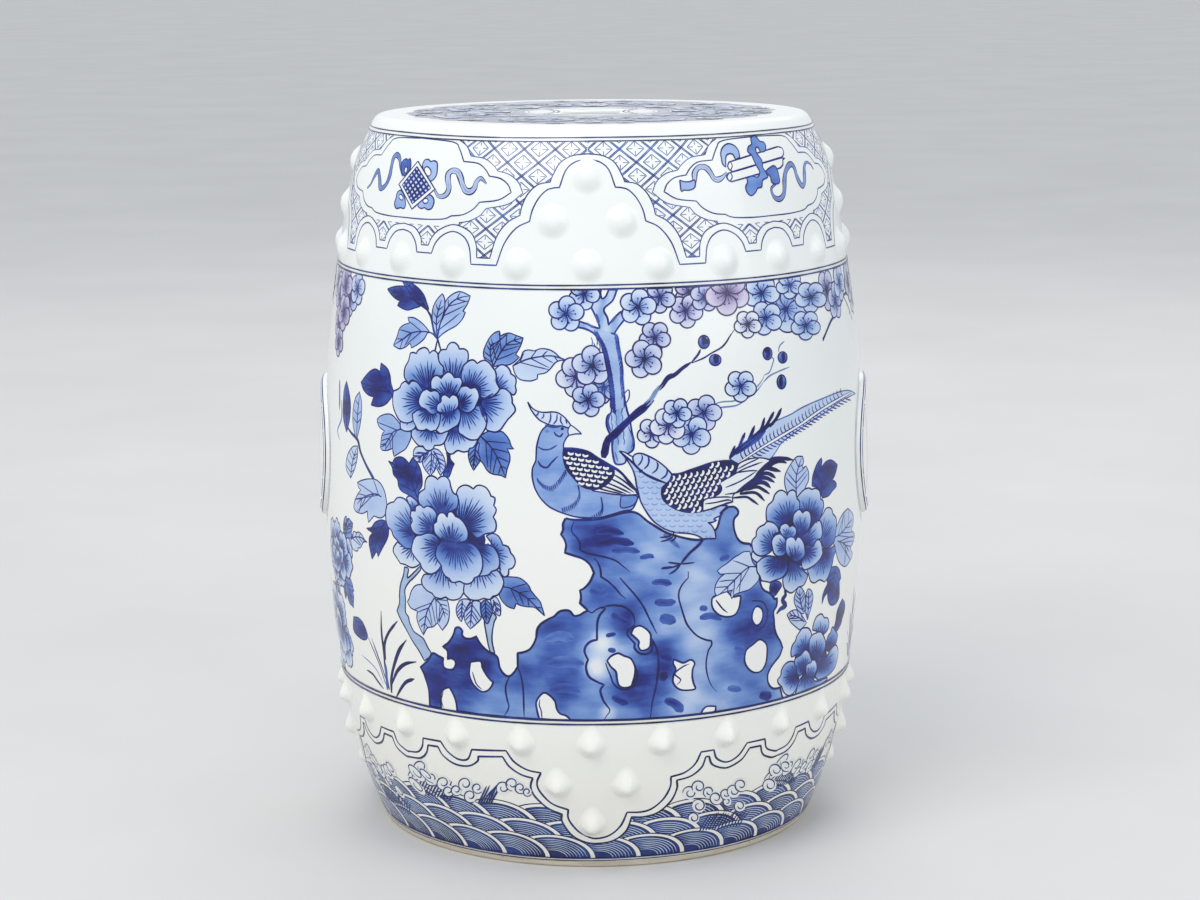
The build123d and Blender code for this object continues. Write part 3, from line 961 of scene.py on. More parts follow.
lower_peony = """456,493* 458.5,488 463.5,485.3 468.5,486 473,489* 477,485.5 482.5,486 486.5,488.5 489.5,493
  490.5,496* 494.5,498 494.5,502 493.5,505.5* 496,509.5 495,513.5 493,517* 495.5,522 496,527 494.5,531.5 491,533*
  485,534 477,538 470,532 462,522 456,514 457,507.5 458,500 @460,530 .07 .5
486,536* 492,533.5 498,536 501,541 502.5,545* 508,547 510.5,553* 514,557.5 515,563 512.5,568 508.5,569.5* 508,575
  504,577 500,572 499.5,562 498,554 494,547 @490,553
397,542* 393.5,547 393,552 396.5,558 400,563.5* 404.5,564.5* 410.5,567.5 415,567 419.5,563.5 416,559 411.5,552
  412,548 406,548 401,545 @414,546 .08 .3
406,498* 409,496 413,498 417,502 418,506 414,511 410,509 408,503 @414,512
386.5,505* 390,502.7 393.5,502* 396,498.5 399,497.4 404,499 408,503.5 410.5,510 410,520 411,528 415,536 413,541
  412.5,548.5* 406,548.5 401,545 397,540.5 393,536 391,530.5 387.5,527* 385.5,520 385.3,512 @416,534
421,580* 424,574.5 430,574.5 437,572 441,569 445,576 451,582 460,581.5 464,584 463.5,592.5* 460,598 455,600
  449.5,599.8 445.5,597* 440.5,598.7 434.5,597 432,593.5* 426.5,590.5 422,585 @444,560 .13 .42
464,584* 472,582 474,578 480,575.5 488,575.5 492,571 497,570.5 501,575.5 503.5,582 502,588.5 498,594.7 492.5,596.5*
  489.5,599.6 483.5,598.3* 478.5,600.2 471,600 467,597 463.5,592.5 @476,560 .13 .42
471,541* 480,545 488,545 494,548 498,555 499.5,562 498.5,568 495,570.5 491.5,571.5* 488,575 482,576 476,576 481,569
  482.5,562 481,555 477,548 @472,546 .3 .62
413,540* 416,536 421,535 427,533 433,534 438,539 438,546 435,552 436,558 441,565.5* 438,570 434,573 430,574 425,572
  421.5,568 420,563.5* 416,559 411.5,552 411.5,546 @442,546
424.5,489* 425,482 427.5,477 432,476 436,478 437.3,479.5* 440,477 445,476.5 449,480.5 450.5,487* 453,493 457,495.5
  458,501 457,507.5 452,511 446,514 437,514 433.5,508 429.5,506* 424,508 419.5,504.5 417.8,499 419,493 @442,518
437,546* 435.5,552 436,558 441,565.5* 442,571 445,576 449,578.5 451.5,582 455,582.5 459.5,581.5 464,583.7 468,584
  472,582 474,578* 479,575.5 482,569 482.5,562 481,555 477,548 470,543 461,542.5 453,542 443,540.5 @455,538 .16 .6
410,516* 411,511 415,511* 415.5,506.5 419.5,504.7 423.5,508* 427,506 432,508.3 435,511.5 436.5,515 435.5,519 433,524
  432.5,529 431.5,533 426,533 421,535 416,534.5 412,531 410,525* 412,520.5 @434,530
433.5,528* 433.5,524 436.3,521.7* 437,516.5 440,513 444,513.5 447,517.5* 448,512.5 452,512 455.3,516.5* 459.5,518.5
  463.5,522.7 467,529 468,535 466.5,540 461,542.3 453,541.7 443,540 438,537 434.5,533 @451,546 .05 .5"""
edge_leaves = """.5 353,617* 358,618 363,624 367,636 364,640 358,637 353,630 | 354,619 359,627 364,637
.45 346,432* 343,420 342.5,405 343.5,390 346,381* 348.5,392 350,405 349,420 | 346,432 346,405 346,385
.14 356,440* 352.5,425 352.5,410 355,398 359,392* 361,403 360.5,418 358.5,430 | 356,440 357,415 359,395
.08 350,478* 345.5,468 347,455 352,447 357,446* 357,455 355,466 352,474 | 350,477 352,462 356,448"""
left_leaves = """.6 387,289* 392,287 399,286 405,287 410,293 413,299 417,304 420,306 414,308 408,310 403,309
  397,305.5* 399.5,301* 394.5,298 390.5,294 | 424,306 415,301 405,296 396,292 387,289
.62 402,279* 408,281 414,285 419,289 423.5,295 426,302 428,310 421,306 417,303 412,296 406,288 403,283 | 427,309
  420,300 412,290 403,280
.15 437,339* 433,327 431.7,316 433,306.5 437,299 442,293.7* 444,298 444.5,306 442.5,315 440,323 438.5,331 | 437,338
  436,325 437,314 441,300
.15 437,339* 439,326 444,314 445,302 451,295 458,291.7 463,292.5 470,296* 467.5,303 464,309 462.5,311* 465,312.5*
  462,319 456,325.5 448,330 442,334 | 437,338 441,320 447,308 453,301 462,297 470,296
.2 393,345.5* 396.5,337 399,329 403,325 409,323* 407.5,317.5* 413,317.6 419,321 424.5,326 429,332 427,333 423.5,339
  417,344.5 411,348* 409.5,343.5 405,347 399,348.8 | 437,339 431,333 421,331.5 411,333 404,338 398,342 393,345.5
.58 360.5,382* 365,376 370,371 375,369 379.5,371.5* 380.5,363* 386.5,368 389.5,375 390.5,383 393,392 392,396*
  386.5,403 381.5,406 376,406.5 370.5,405* 373,397* 368,395 363.5,390.5 361.5,386 | 392,395 385,388 378,384.5
  370,385.5 361,383
.2 376.5,419.5* 380,416 386.5,414 391.5,415 396,419.5 400,425 401,429 405,431 410,431.5 410.5,438 408.5,443 405,449
  399,453 393.5,456.5* 392,448.5* 386.5,450.4 381.5,450 380,447* 380.5,441.5 381.5,435 384,431* 378.5,426.5 |
  401,429 393,432 389,438 384,445 380,447
.5 388,461* 392,462.5 394,458.6 399,456.8 404,458.6 408.5,463.5* 412.3,457.5* 416.3,462 419.5,468 421.5,476.5
  421.5,486 418.5,491 418,497 419,502.5* 414,499 408,495 401,491 398,486 397,479.5 393,474.5 391.7,467.5 | 418,500
  413,488 409,478 402,470 394,465 388,461
.12 357,482.5* 361,480.5 368,479 375.5,479.8 381,485 384.5,493 386,502 386.5,508 384,515.5 379.5,518 373.5,516*
  368,522.5* 367,515.5 367,511* 362,513.5 356,512 353.3,507 355,499 358,493 360.5,490* 358,487.5 | 381,497 375,494
  366,496 360,500 357,504
.6 366,528.3* 371,527.5 374.5,522.5 380.5,520 385.5,521.7 388,527 388,534 386,540.5 382,548 377.5,557* 376,552
  371.5,559* 370,552 368.5,544 369,537 371.5,533 | 384,523 378,533 375,544 372,556
.28 493,367* 488,363.5 484,358 483.3,352 485.5,345 489.5,337.5 494.5,332.7 499.2,331* 500.3,336 503,334.5 509,333
  516,335.5 523,338* 520,346.5 515.5,354.5* 519,357.3* 514,362 508,365 500,365 | 493,366 490,355 491,345 495,343 |
  493,366 500,353 507,344 515,340 523,338
.08 512.5,366* 520,359 523,352 528,350 534,351* 541,348.7 549,349.7 555,353 560,357.5 567,360.5* 560,360.5 555,363
  550,369 545,373 537.5,374.5* 537,379* 530,381 520,379.5 515,374 | 512.5,366 525,360 538,357 552,356 567,360.5
.35 480,436* 488,431.5 495,432.5 501,431.5 505,434.5 509,440 511,446 513.7,449* 507,449* 509.5,455 509.5,461 507,469
  505.3,478* 500.5,475.5 492,474 487,470.5 483,464 480,460.5* 476,458 475,451 477,443 | 480,436 488,444 494,452
  500,464 505,477
.3 469,449* 468,456 470,464 473.3,470.5* 477,465 480,460 478,452 479,443 475,446 | 475,447 474,458 473,469
.1 413,451* 416,447 422,447 426,450 428,453 425,458 420,462.5* 415,461 413,456 | 427,452 421,456 417,459
.14 428,452* 432,449 438,450 443,456 445,464 444,470 440,475.5* 436,468* 430,476* 425,470 422,463 424,457 | 431,451
  431,462 430,474 | 433,451 438,460 440,472
.5 446,452* 449.5,453.5 450,459 454,464* 452,468 450,474 448.5,477* 443,475.5 446,467 447,459 | 448,454 449,464
  447,475
.12 421.5,584.5* 415.5,585.5 411,591 409,598 407,602* 410.5,608 417,611.3* 416.5,619 419,627 423,635* 427,628
  432.5,627 437,623* 442,630.5* 447.5,622.5 449,613 448,604 445.5,597.5 440,599 434.5,597 431,593 425,589 | 434,598
  430,605 426,614 423,634 | 434,598 441,606 445,618"""
right_leaves = """.12 797,497* 789,494 786,488 785,481 786,474 790,466 795,459 798,456.5 803,456.5* 804,462
  802.5,468 806.5,466* 809,472 809,480 806,487 803,493 | 797,495 796.5,485 797,475 800,464 802,458
.97 812.5,486* 813,477 815,470 818,463 822,458* 822.5,462 822,467 826,462 831,460 835,462 838,465* 837,470 835.5,475
  833,480* 836,482 837,486 833,491 829,496 823,498* 820.5,492 818,488 | 822,496 822,485 825,472 832,463
.14 833,540* 836,530 840,520 844,513 848.5,508.5* 852,512 854,517 853.5,525 852,530 855,534 854,542 851,548 853,554
  851,560 846,566.5 841,564 838,558 836,550 | 835,538 842,533 848,525 853,519 | 838,541 845,544 850,552
.97 833,567* 837,566.5 840,570 841.5,578* 840,582 840,590 839.5,598 836,604 831,605 828.5,600 828,593* 825,597
  822.5,604* 823,597 825,590 828,583 826,577 828,571 | 836,568 834,580 833,600
.97 843,599* 845.5,604 845,611 843,618 841.5,624 837.5,631 834.5,629 836,622 837.5,612 840,605 | 843,601 839,620
.16 799,587* 796,593 794.5,600 796,606 799,611 804,614 805.5,608 806,600 805,593 802,588 | 804,612 801,602 800,590
.16 807,593 809,589 812,591 813.5,597 812,606 810,613 808,620* 806,612 806,603 | 808,618 809,605 809,592
.1 787.5,615* 791,611.5 797,610 802,615 807,623* 803,628 800,630* 795,626 791,622 | 805,622 798,617 789,615
.1 757,567* 753,562 751,555 750,551.5* 744,552 739,555 734,558 728,563 722,567 717.5,571* 721,574.5 725,574 720,578
  716,585 715,592 717,596* 722,593.5 728,591.5 733,590* 731,594 732,599* 735,595 741,592.5 749,590 754,586 759,580
  759,573 | 757,567 750,567 743,572 735,580 727,588 719,595
.97 771,583* 775,581 780,582 782,586 779,591 775,596 771,594 770,588 | 775,583 774,594
.34 502,577* 510,577 519,578 525,582 529,586.5 530.5,590.5* 535,596 540,602 542,608 544.5,616* 539,611 534,607.5
  527,607 520,605.5 516,603.5* 514,609* 508,607 502.5,602 499,595 500.5,589 503,587 503.5,582 | 503,587 509,588
  517,592 526,597.5 535,606 544,616
.12 480,602* 474,601 468,606 464,614 465,622 470,629* 476,624 481,618 480,610 | 472,603 471,614 470,627
.1 459,601* 464,599 470,601 466,608 463,616 461,622* 457,616 456,608 | 462,601 461,619
.34 481,603* 485,600 490,604 492,612 490,618 487,624 483,619 481,612 | 485,601 486,621
.1 490,600* 495,597 499,602 500.5,609 499.5,616 494,612 492,607 | 493,600 498,613"""
right_peony = """823,549* 829,549 833,547 835,545* 836,551 834,557 833,563 831,570 828,578 825,582* 820,580 815,583
  811,581 809,574 808,570 813,567 818,562 822,556 @822,556 .15 .62
824,513* 826,509 829,507.5 832,509 833.5,514* 836.5,518 837,525 836,534 835,541* 830,547 824,548* 822,541 822,531
  822,523 820,520 @822,540 .15 .5
752,553* 755,550.5 760,556 767,556 760,561 758,563* 755,561 752,558 @770,552 .08 .3
757,563* 763,558 769,556 775,557 782,558 787,561 788,566 787,572 782,578 776,580 770,582.5* 766,581.5 762,581*
  760,576 757.5,572 757,567 @780,562 .1 .62
783,579* 787,573 789,567 790,561 794,562 797,565 801,568 805,572 808,575 806,582 803,586 799,587 797,589 792,593
  787,591 784,587 @794,562 .1 .55
752,544* 753,540 756.5,536.5* 757,531 760,527 765,524.5 767,522 773,521.5 778,527* 779,532 775,534 773,538 772,542
  773,549 768,554 760,556 754,552 @775,546 .1 .58
767,521* 766.5,513 768,506 773,501 775,495 779,491 783,490.5 786.5,493 787.5,496* 789,492 793,490 796,492 797,497
  800,500* 801,506 799,510 794,515 792,522 788,523.5 784,522 779,528* 774,523 @790,524 .1 .62
797,498* 802,492 805,489.5 809,488 812,489.5* 816,488.5 819.5,490.5 821,496 821,499* 823.5,501 824,507 822,514
  820,520* 816,524 812,527* 811,521 810,514 808,510 803,511 800,508 800,502 @808,520 .12 .62
802,536* 808,532 812,527 816,522 820,520.5 822,526 822.5,534 821,539* 817,540 813,546 808,545 804,541 @803,543 .14
  .6
805,548* 808,545 813,546 817,540* 820,540 822,545 823,553* 821,558 817,563 812,567 805,570 802,566 803,560 805,555
  @806,552 .14 .6
793,522* 794,515 797,511 800,509.5 803,513* 806,510.5 809.5,511.5 811,516 811,522 809,529 805,534 800,535 797,530
  795,526 @801,534 .12 .6
773,549* 772,542 774,537 777,534.5 781,534 784,537 786,541 785.5,547 786,553 782,556 777,556 774,553 @786,548 .15 .5
780,531* 781,526 785,523.5 788,524 790,527* 793,525.5 796,528 796.5,533 794,537 790,538 785,537 782,535 @789,537 .15
  .5
786,545* 786.5,540 790,537 794,537.5 796,541* 798,537 801,538 804,543 805,549 805,555 801,560 796,562 792,560
  788,556 786,551 @795,562 .15 .5"""
low_peony = """813,630* 814,624 817,617 822,614 825,618 828,618 829.5,624 828,630 824,634 819,632 @822,640 .1 .5
800,680* 803,676 808,676 813,678 815,681 820,681 824,679 828,678 824,683 814,688.5 803,694 796,696 797,690 @806,674
  .25 .6
796,655* 792,657 791.5,651 793,645 796,641 797,637 800,632 803,628.5 808,628 811,631 812,636 810,641 809,648 807,652
  802,655 @806,652 .1 .6
827,641* 829,635 831,633 833,627 836,631* 838,635 837,642 834,648 831,652 827,650 825,645 @828,652 .3 .7
816,664* 820,658 826,657 829,655* 831,650 836,645 838.5,650 838,658 836,666 833,671 829,675 824,678 818,680* 816,676
  818,670 @822,664 .12 .6
809.5,646 810,640 813,635 817,633 821,632 824,636 826,642 825,650 821,656 816,659 812,656 810,652 @817,658 .12 .6
779,684* 778,680 781,676 782,670 785,665 789,662 794,662 797,668 799,675 799,681 797,688 793,694 788,695.5 784,692
  782,687 @796,676 .12 .65
806,671* 807,665 811,661 815,660 817,664 817,670 814,676 810,677 807,675 @810,678 .12 .55
795,665* 795,660 798,657 801,655.5 803,653 806,650 809,652 811,657 812,662 808,664 805,668 802,674* 800,676 797,673
  797,668 @804,668 .15 .6"""

# The pierced rock
rock_edge = """565.5,518.5* 576,520 600,519 632,512 650,523 670,534 700,540 716,530 722,513 729,507* 734.5,507
  738,510 738.5,514 734.5,519 734,526 735.5,533 738.5,539.5 743,543 750,544* 756,553 760,577 761,584 764,590 771,594
  775,599 777.5,598.5* 777,606 774,612 774.5,620 775,628 777,635 781,642 783,648* 780,656 776,661 771,668 768,676
  769,684 773,688.5 778,688.5 780.5,687.5* 782,694 784,701* 765,706 740,711 700,717 650,722 603,724 570,723 540,721
  505,718* 470,714 457,712* 456,704 454,697 450,689 447.5,687.5 443,689.5 440.5,694 440,700 440,709 429.5,708*
  429,697 428,688 425,678 422.5,671.5 420,667.5* 424,664 428,660 431,654.5 433.5,653.5 438,656 443,658.5* 442.5,663
  444,668 449,670 453.5,669 455.5,664 454,660 450,658.5 447,659.5* 447.5,655 446.5,650 442.5,647* 448,643 452,637
  454,632 455,628.5 458.5,627.5 462,631 461.5,634.5 464,638 469,639 473,638 476,636.5* 479,642.5 484,648.5 490,653
  497,657 499.5,668 504,674.5 509,676.5 513.5,673 517.5,667* 517.5,653.5* 523,652.5 529,650 533,645 536,638 537,630
  541,624 548,619.5 554,616.5 559,612 565,610.5 570,611.5 574,616 580,615 584,612.5 588,611* 585,608 580,603.5*
  581,597 580,590.5* 584,588.5 590,582 594,573* 590,565 583,559 573,555.5 565,553* 566,545 564,539 561,534.5*
  563,530 563,524"""
rock_hollows = """631,634* 634,628 640,626 646,629 650.5,634 651,640 650,647 646,650 641,650.5 638.5,646.5 639,642
  636,638.5
607,661* 611,656.5 618,653.5 624,656 631,659 635,667 635,675 633,682 631,686.5 624,688 619,685.5 617,679 616,672
  611,667
674,659.5* 679,661.5 684,663 691,660 695,663.5 693,669 692.5,677 694,684 695.5,689 688,690.5 681,690 676,687
  673,681.5 674,675 676,669.5 673.5,664
712.5,598* 712,604 714,610 720,615.5 728,617 735,615 739,609 740.5,602 740.5,596 733,597 727,591.5 720,593.5
756,607 753,613 752.5,620 756,625.5 760,624 763,618 763,611 760,607
759,640 763,640.5 767,645 767.5,654 766,664 761,671.5 754,672.5 748,668 745,661 746,652 749,648 753,645
701,714* 704,709 708,706.5 716,706.5* 714.5,712
539,719* 537,711 536,703 539,697 544,693 550,696 555,702 556.5,709 560,714 566,716 568,720.5
470,662* 480,661.5 482,668 486,675 491,681 493,682* 491,687 487,691 482,692 477,689 472,683 469,674"""
rock_shade = ((600, 540, 34, .26), (575, 532, 16, .14), (600, 595, 22, .16), (560, 628, 26, .2), (560, 680, 40, .2),
              (640, 600, 26, .14), (470, 660, 44, .3), (430, 690, 34, .25), (640, 690, 30, .3), (668, 655, 24, .3),
              (622, 625, 18, .2), (755, 625, 34, .3), (745, 680, 34, .1), (700, 585, 26, -.1), (690, 640, 30, -.16),
              (650, 545, 30, -.06), (603, 645, 16, -.3), (608, 712, 10, -.25), (595, 668, 14, -.34),
              (520, 672, 14, .08), (690, 700, 20, -.12), (725, 690, 22, -.06), (720, 540, 20, .1))
rock_lines = """1.3 1 574,522 571.5,528 572.5,533 577,538 580,544 580,550* 586,553 597,555.5 608,558 616,561
  622,565.5 630,572
1.3 1 594,558 598,563 600.5,570 601,577* 608,581.5 615,588 621,595 626,599
1.3 1 620,578 627,586 635,595 643,606 650,620 654,628 657,634
1.5 1 588,611 592,613 596,610 602,607.5 605,609 600,615 597.5,622 597,631 597,640* 591,641.5 586,646 584.5,652
  588,660* 586,666 587,673 590,678 597,682 604,685* 600.5,690 601.5,696 604,702 607,706 610,711 606,717 603,722
1.3 1 602,609 606,606.5 613,605.5 619,606 624,607 630,611 634,617 635,625
1.5 1 635,625 630,629 627,634 631,639.5 635,644 634.5,648 639,653 644,654.5 649,653.5 652,649.5 652.5,643 650.5,638
  655,645 657.5,652 658.5,660 658.5,670 657,682 655,692 652.5,703 650,722
1.2 1 605.5,663 608,670 611,677 613,683 618,688 624,690 632,688 636,682 637,672 634,662
1.2 1 509.5,676.5 506,684 505.5,692 507,700 508.5,708 503.5,717
1.2 1 517.5,667 521,677 523,690 523.5,703 524,719
1.2 1 688.5,571.5 688.5,578* 683,584 679.5,591 679,598 681,606 684,616 687,624 693,632 699,637 706,640 711.5,641*
  712,645 709,650 707,658 706.5,668 708.5,678 712,686 717,692
1 1 752,601 757,601 763,602 767,608 768,616 765,625 759,630 754,629
1 1 677,685 681,680 675,674 683,667 690,664
1 1 716,600 719,604 723,609 728,613
.8 .9 542,720 541,711 539,705 540,699
.8 .9 443,708 441,700 443,692
.9 .9 472,672 476,684 482,690
1.2 1 662,568 668,567.5 674,567"""
rock_streaks = """4 .62 596,533 610,531 624,534
5 .66 600,543 616,541 634,544
4 .6 612,551 628,550 640,552
3 .55 640,558 650,556 654,558
4 .55 652,583 662,582 672,584
5 .6 655,602 666,603 676,602
6 .62 660,618 670,620 676,622
4 .58 700,618 712,616 722,620
4 .55 700,608 708,609
6 .66 660,656 666,658 672,660
7 .66 660,676 668,677
6 .6 665,700 675,704 683,712
5 .6 612,614 620,620 628,622
3 .55 606,636 616,634
3 .6 608,650 616,651
5 .6 612,697 620,700 628,704
5 .55 735,648 745,650
4 .5 728,688 742,690
6 .62 760,695 772,697
3 .45 664,534 680,548
4 .5 720,560 730,556
5 .55 590,590 600,594 608,590
6 .5 545,640 560,636 574,640
7 .5 548,664 566,662 584,664
6 .55 550,690 566,688 580,692"""

# The two birds
first_bird = """.4 1.0 548,425* 543,429 540,434 538,440 536.5,447 536,455 535.5,461 532.5,468 532,476 533.5,484
  536,491 541,499 548,506 556,510.5 565,514 576,517 588,518 600,517.5 612,514.5 624,511 632,509.5 636,503 638.5,496*
  636,490 630,482 620,471 610,465 600,459 590,453.5 580,450 570,448.5 563.5,448* 563.5,444 566,438.5 569,435*
  571,430 570,425* 562,426 556,426
.12 .9 527.5,402* 532,408 538,411.5 545,412.5 552,412 558,413 564,417 568,421.5 570.5,425* 568.5,428 562,426 556,426
  550,425 546,423.5 540,420.5 535,415.5 530.5,409
.05 .8 570.5,425* 575,428 579,431.5 581.5,434* 575,434 569,435 568,430
.5 .8 621,496* 634,495.5 637.5,497 636,502 632,506 621,507.5"""
first_wing = """563.5,448* 575,448.5 588,451.5 597,457 606,463 613,467.5 614,474 611,480 606,485 598,489 590,489
  583,487 577,482 571,475 567,470 564.5,464 563,456"""
first_quills = """598,489* 606,485 611,480 614,474 613,467.5 620,472 628,482 634,488 637.5,494.5* 628,495 615,494.5
  603,492.5 592,490.5"""
second_bird = """.26 1.0 619.5,451* 625,457 629,463 633,470 635.5,478 636.5,485 638.5,493 641,502 646,511 652,519.5
  659,525.5 667,530 676,532.5 688,533.5 697,535.5 703,539* 716,538.5* 715.5,533 713.5,528 711,524.5* 708,522.5
  712,522.5 717,520.5* 714,519 723,514.5* 720,513.5 728,505.5* 715,506 703,507 690,508 676,505 666,499 664,489
  668,483.5* 658,480.5 648,476 640,470 633,463 626,456.5
.05 .8 619.5,451* 625,452.5 630,455.5 633,457.5 633,462 629,459.5 625,456
.2 1.0 633,457 636,454 641,453.5 647,455.5 655,459.5 663,465 670,472 674,477.5 677,482 673,484.5 667,483.5 661,481
  652,477 645,473.5 638,467.5 634,462.5"""
second_wing = """666,484* 670,480 672,474* 680,473.5 690,470 700,466.5 710,463 720,461.2 731,460.8 739,464* 737,468
  734,473 726,478.5 720,483 722,488 719,493 712,497 704,500.5 703,507.5 702,511.5 690,512.5 678,510 668,504.5
  662.5,498 662,489"""
second_quills = """703,511.5* 703,505 704,500 712,497.5 719,494 722,489 720,483.5 728,478 736,472 739,464 750,459
  762,458 770,460.5 765,465 758,472 754,478 745,485 738,491 733,496 733,502* 722,505 712,508.5"""
long_tail = """730,459* 736,452 744,446 752,438 762,430 772,423 783,418 792,414 800,409 810,404 822,399 834,394
  843,391 850,390.5 856,393.5* 849,397 841,401 832,408 822,415 812,421 802,428 792,435 782,443 776,452 770,459
  760,460 750,459 740,464"""
bird_lines = """.8 .8 538.5,412 537.5,414.5 535,416
.9 .8 543.5,413.5 543.5,416.5 541,419
.9 .8 550.5,413 550.5,419 548.5,424
.9 .8 557,414 556.5,420 553,424.5
.9 .9 561,416 560.5,421 563,425
.9 .9 565.5,419 567,424
1.0 .85 538,447 543,449.5 549,449.5 554,447 557,445
1.1 .85 538,461 541,466 547,467.5 551,463 558,456
1.1 .95 554,432 556,435 560,436.5 563,433
2.2 1 561.5,427.5 563,430
1.6 .55 545,431 549,431.5
1.4 .75 545,425 553,427 562,426
1.1 .85 638,466 641,462 642.5,458 641.5,454.5
1.1 .85 644,469 648,465 649,459.5 647.5,456
1.1 .85 652,473.5 656.5,470 658,465 656.5,462
1.1 .85 661,479 666,475.5 667.5,470 665,467
1.1 .85 668,482 672,479.5 672.5,475.5
3.0 1 640,470 642,472.5
1.3 1 619.5,451 626,456.5 633,463 640,470 648,476 658,480.5 667,483.5
1.1 1 660,537.5 666,537 672,535 675,532
1.1 1 661,541.5 668,540 674,536
1.1 1 671,541.5 675,538.5 676,534
1.8 1 704,539 698,546 690,553 684,560 681,564
1.2 1 681,564 676,563.5 668,562.5
1.2 1 681,564 674,567 661,569
1.2 1 681,564 676,570 669,574.5
1.0 1 681,564 688,563.5 695,562.5
1.0 .95 738,469 748,463.5 760,458
1.0 .95 728,478.5 742,470 757,464 763,462
1.0 .95 735,473 748,471 758,470.5
1.0 .95 726,487.5 738,482.5 748,477 757,471
1.0 .95 725,494.5 737,492.5 746,487 754,478
1.0 .95 705,499 715,497.5 726,497 733,497.5
1.0 .95 705,504 716,502.5 728,500 733,501.5
1.0 .95 703,511 715,508 727,503 733,501.5
1.0 1 596,487.5 608,491 622,494
1.0 1 600,485 612,489 626,494
1.0 1 605,482 616,486.5 631,493.5
1.0 1 609,478 621,484 634,492.5
1.0 1 613,474 624,481 635,490.5
1.1 1 612,467 622,474 633,486"""
tail_spikes = """2.2 1 730,459 732,454 735.5,445.5
2.2 1 738,451 741,443 745.5,432.5
2.4 1 748,443 751,436 755,425.5
2.4 1 758,435 762,428 765,417.5
2.4 1 764,430 770,420 774.5,411.5
2.4 1 770,427 777,418 782,408
3.4 1 730,458 738,450 748,443 758,434 768,426 774,424
3.0 .8 736,454 746,447 756,440 766,431
2.6 1 756,471 763,466 770,464.5 780,461 787,463
2.2 1 764,463 774,458.5 784,458.5 794,460
2.6 1 757,474 766,468 774,469.5 781,471.5
2.6 1 756,477 764,473.5 770,474 776,478
2.4 1 754,481 762,478 768,478.5 775,482.5
2.4 1 750,486 760,482.5 766,483.5 771,488
2.2 1 745,490 757,487 763,489.5 770,494
2.0 1 740,494 752,492.5 758,494 765,501
1.6 1 733,498 746,497 752,500 759,505
4.0 1 740,492 750,484 756,476 762,468 772,463 782,460"""

# The plum: trunk, branches, blossoms and buds. A blossom is its place, size, depth,
# how violet it has burnt and its turn; a bud its place, breadth and height
trunk = """591,286* 591.5,297 590.5,305 594,313 598,322 599.5,328 594,327 587,324 580,321.5* 575.5,327* 584,328.5
  592,332 597,337 601,343 604,352 606,362 608,372 609.5,382 610.5,392 611,402 611.5,412 607.5,416 606.5,424
  608.5,431 612,438 612,445 613,455 616,464 625,463 627,455 633,450 634,442 632,432 630,420 627,410 624,395
  622.5,380 622.5,370 621,358 618.5,345 617,336* 612,339* 616.5,330 624,320* 621,311.5* 614,318 608.5,325* 607.5,318
  604,309 613,300 618,286* 611,286 606,296 602,298.5 600.5,293 600.5,286"""
left_bark = """594.5,330 597,337 601,343 604,352 606,362 608,372 609.5,382 610.5,392 611,402 611.5,411"""
right_bark = """624,408 624,395 622.5,380 622.5,370 621,358 618.5,345 617,336 611,333"""
branch_lines = """4.6 1 603.5,458 605.5,449 608,440 613,435
4.4 .95 603,450 605,444 608,440 615,434 625,424 636,414 648,405 654,400
2.0 1 640,412 646,406 652,400
3.0 1 659,390 663,385 668,378 676,374
2.4 1 668,379 676,374 683,368 692,362
1.4 1 692,362 698,355 701,349
1.1 1 692,363 704,358 712,353 721,348 726,343 731,335 736,328
3.0 1 703,336 704.5,340 704,345
3.2 1 702,340 707,341 708,344
3.6 1 714,356 717,359 715,363
1.6 .8 602,346 606,360 609,376 612,392
2.2 .75 605,350 609,366 612,380
.7 .8 611,386 615,390
.7 .8 611,392 615,396
.7 .8 611,398 615,402
.7 .8 612,404 616,408
.7 .8 612,410 616,415
.8 .9 612,345 609,352
1.8 .7 596,314 599,324
1.6 .7 586,323 594,328
1.2 .7 611,323 617,316
1.2 .8 618,340 620,352 622,366
1.4 .85 624.5,395 624.5,402
.7 .8 622,402 625,393 629,390 629,398 625,405 620,414
1.2 .75 610,414 608,422 611,432
1.1 .6 615,452 618,462
.8 .7 628,426 633,440 631,450
3.0 .97 768,349 769,354 767,358
3.4 .97 765,352 768,350 770,355
3.2 .97 783,353 784,358 783,362
3.0 .97 782,376 781,382 782,388
3.4 .97 780,380 783,384
1.2 1 826,284 832,295 834,300 837,306 840,313
1.3 1 834,300 836,308 835.5,317
1.6 1 836,284 836,293 834,300"""
pale_branches = """1.0 .5 712,405 722,402 734,401 741,398 750,392 757,387 762,381 765,375
1.0 .5 712,408 726,407 738,405 748,398 757,391 764,382
1.0 .55 765,375 770,372 773,364 774,359 770,356
1.0 .55 764,382 770,376 780,371 790,367
.9 .55 779,352 780,346 785,341
1.2 .6 643,405 650,399 655,391 660,385
2.6 .42 646,406 653,397 658,389 663,384
1.6 .5 341,400 341,418 337,430 339,440
2.4 .6 339,380 339,395 339,410"""
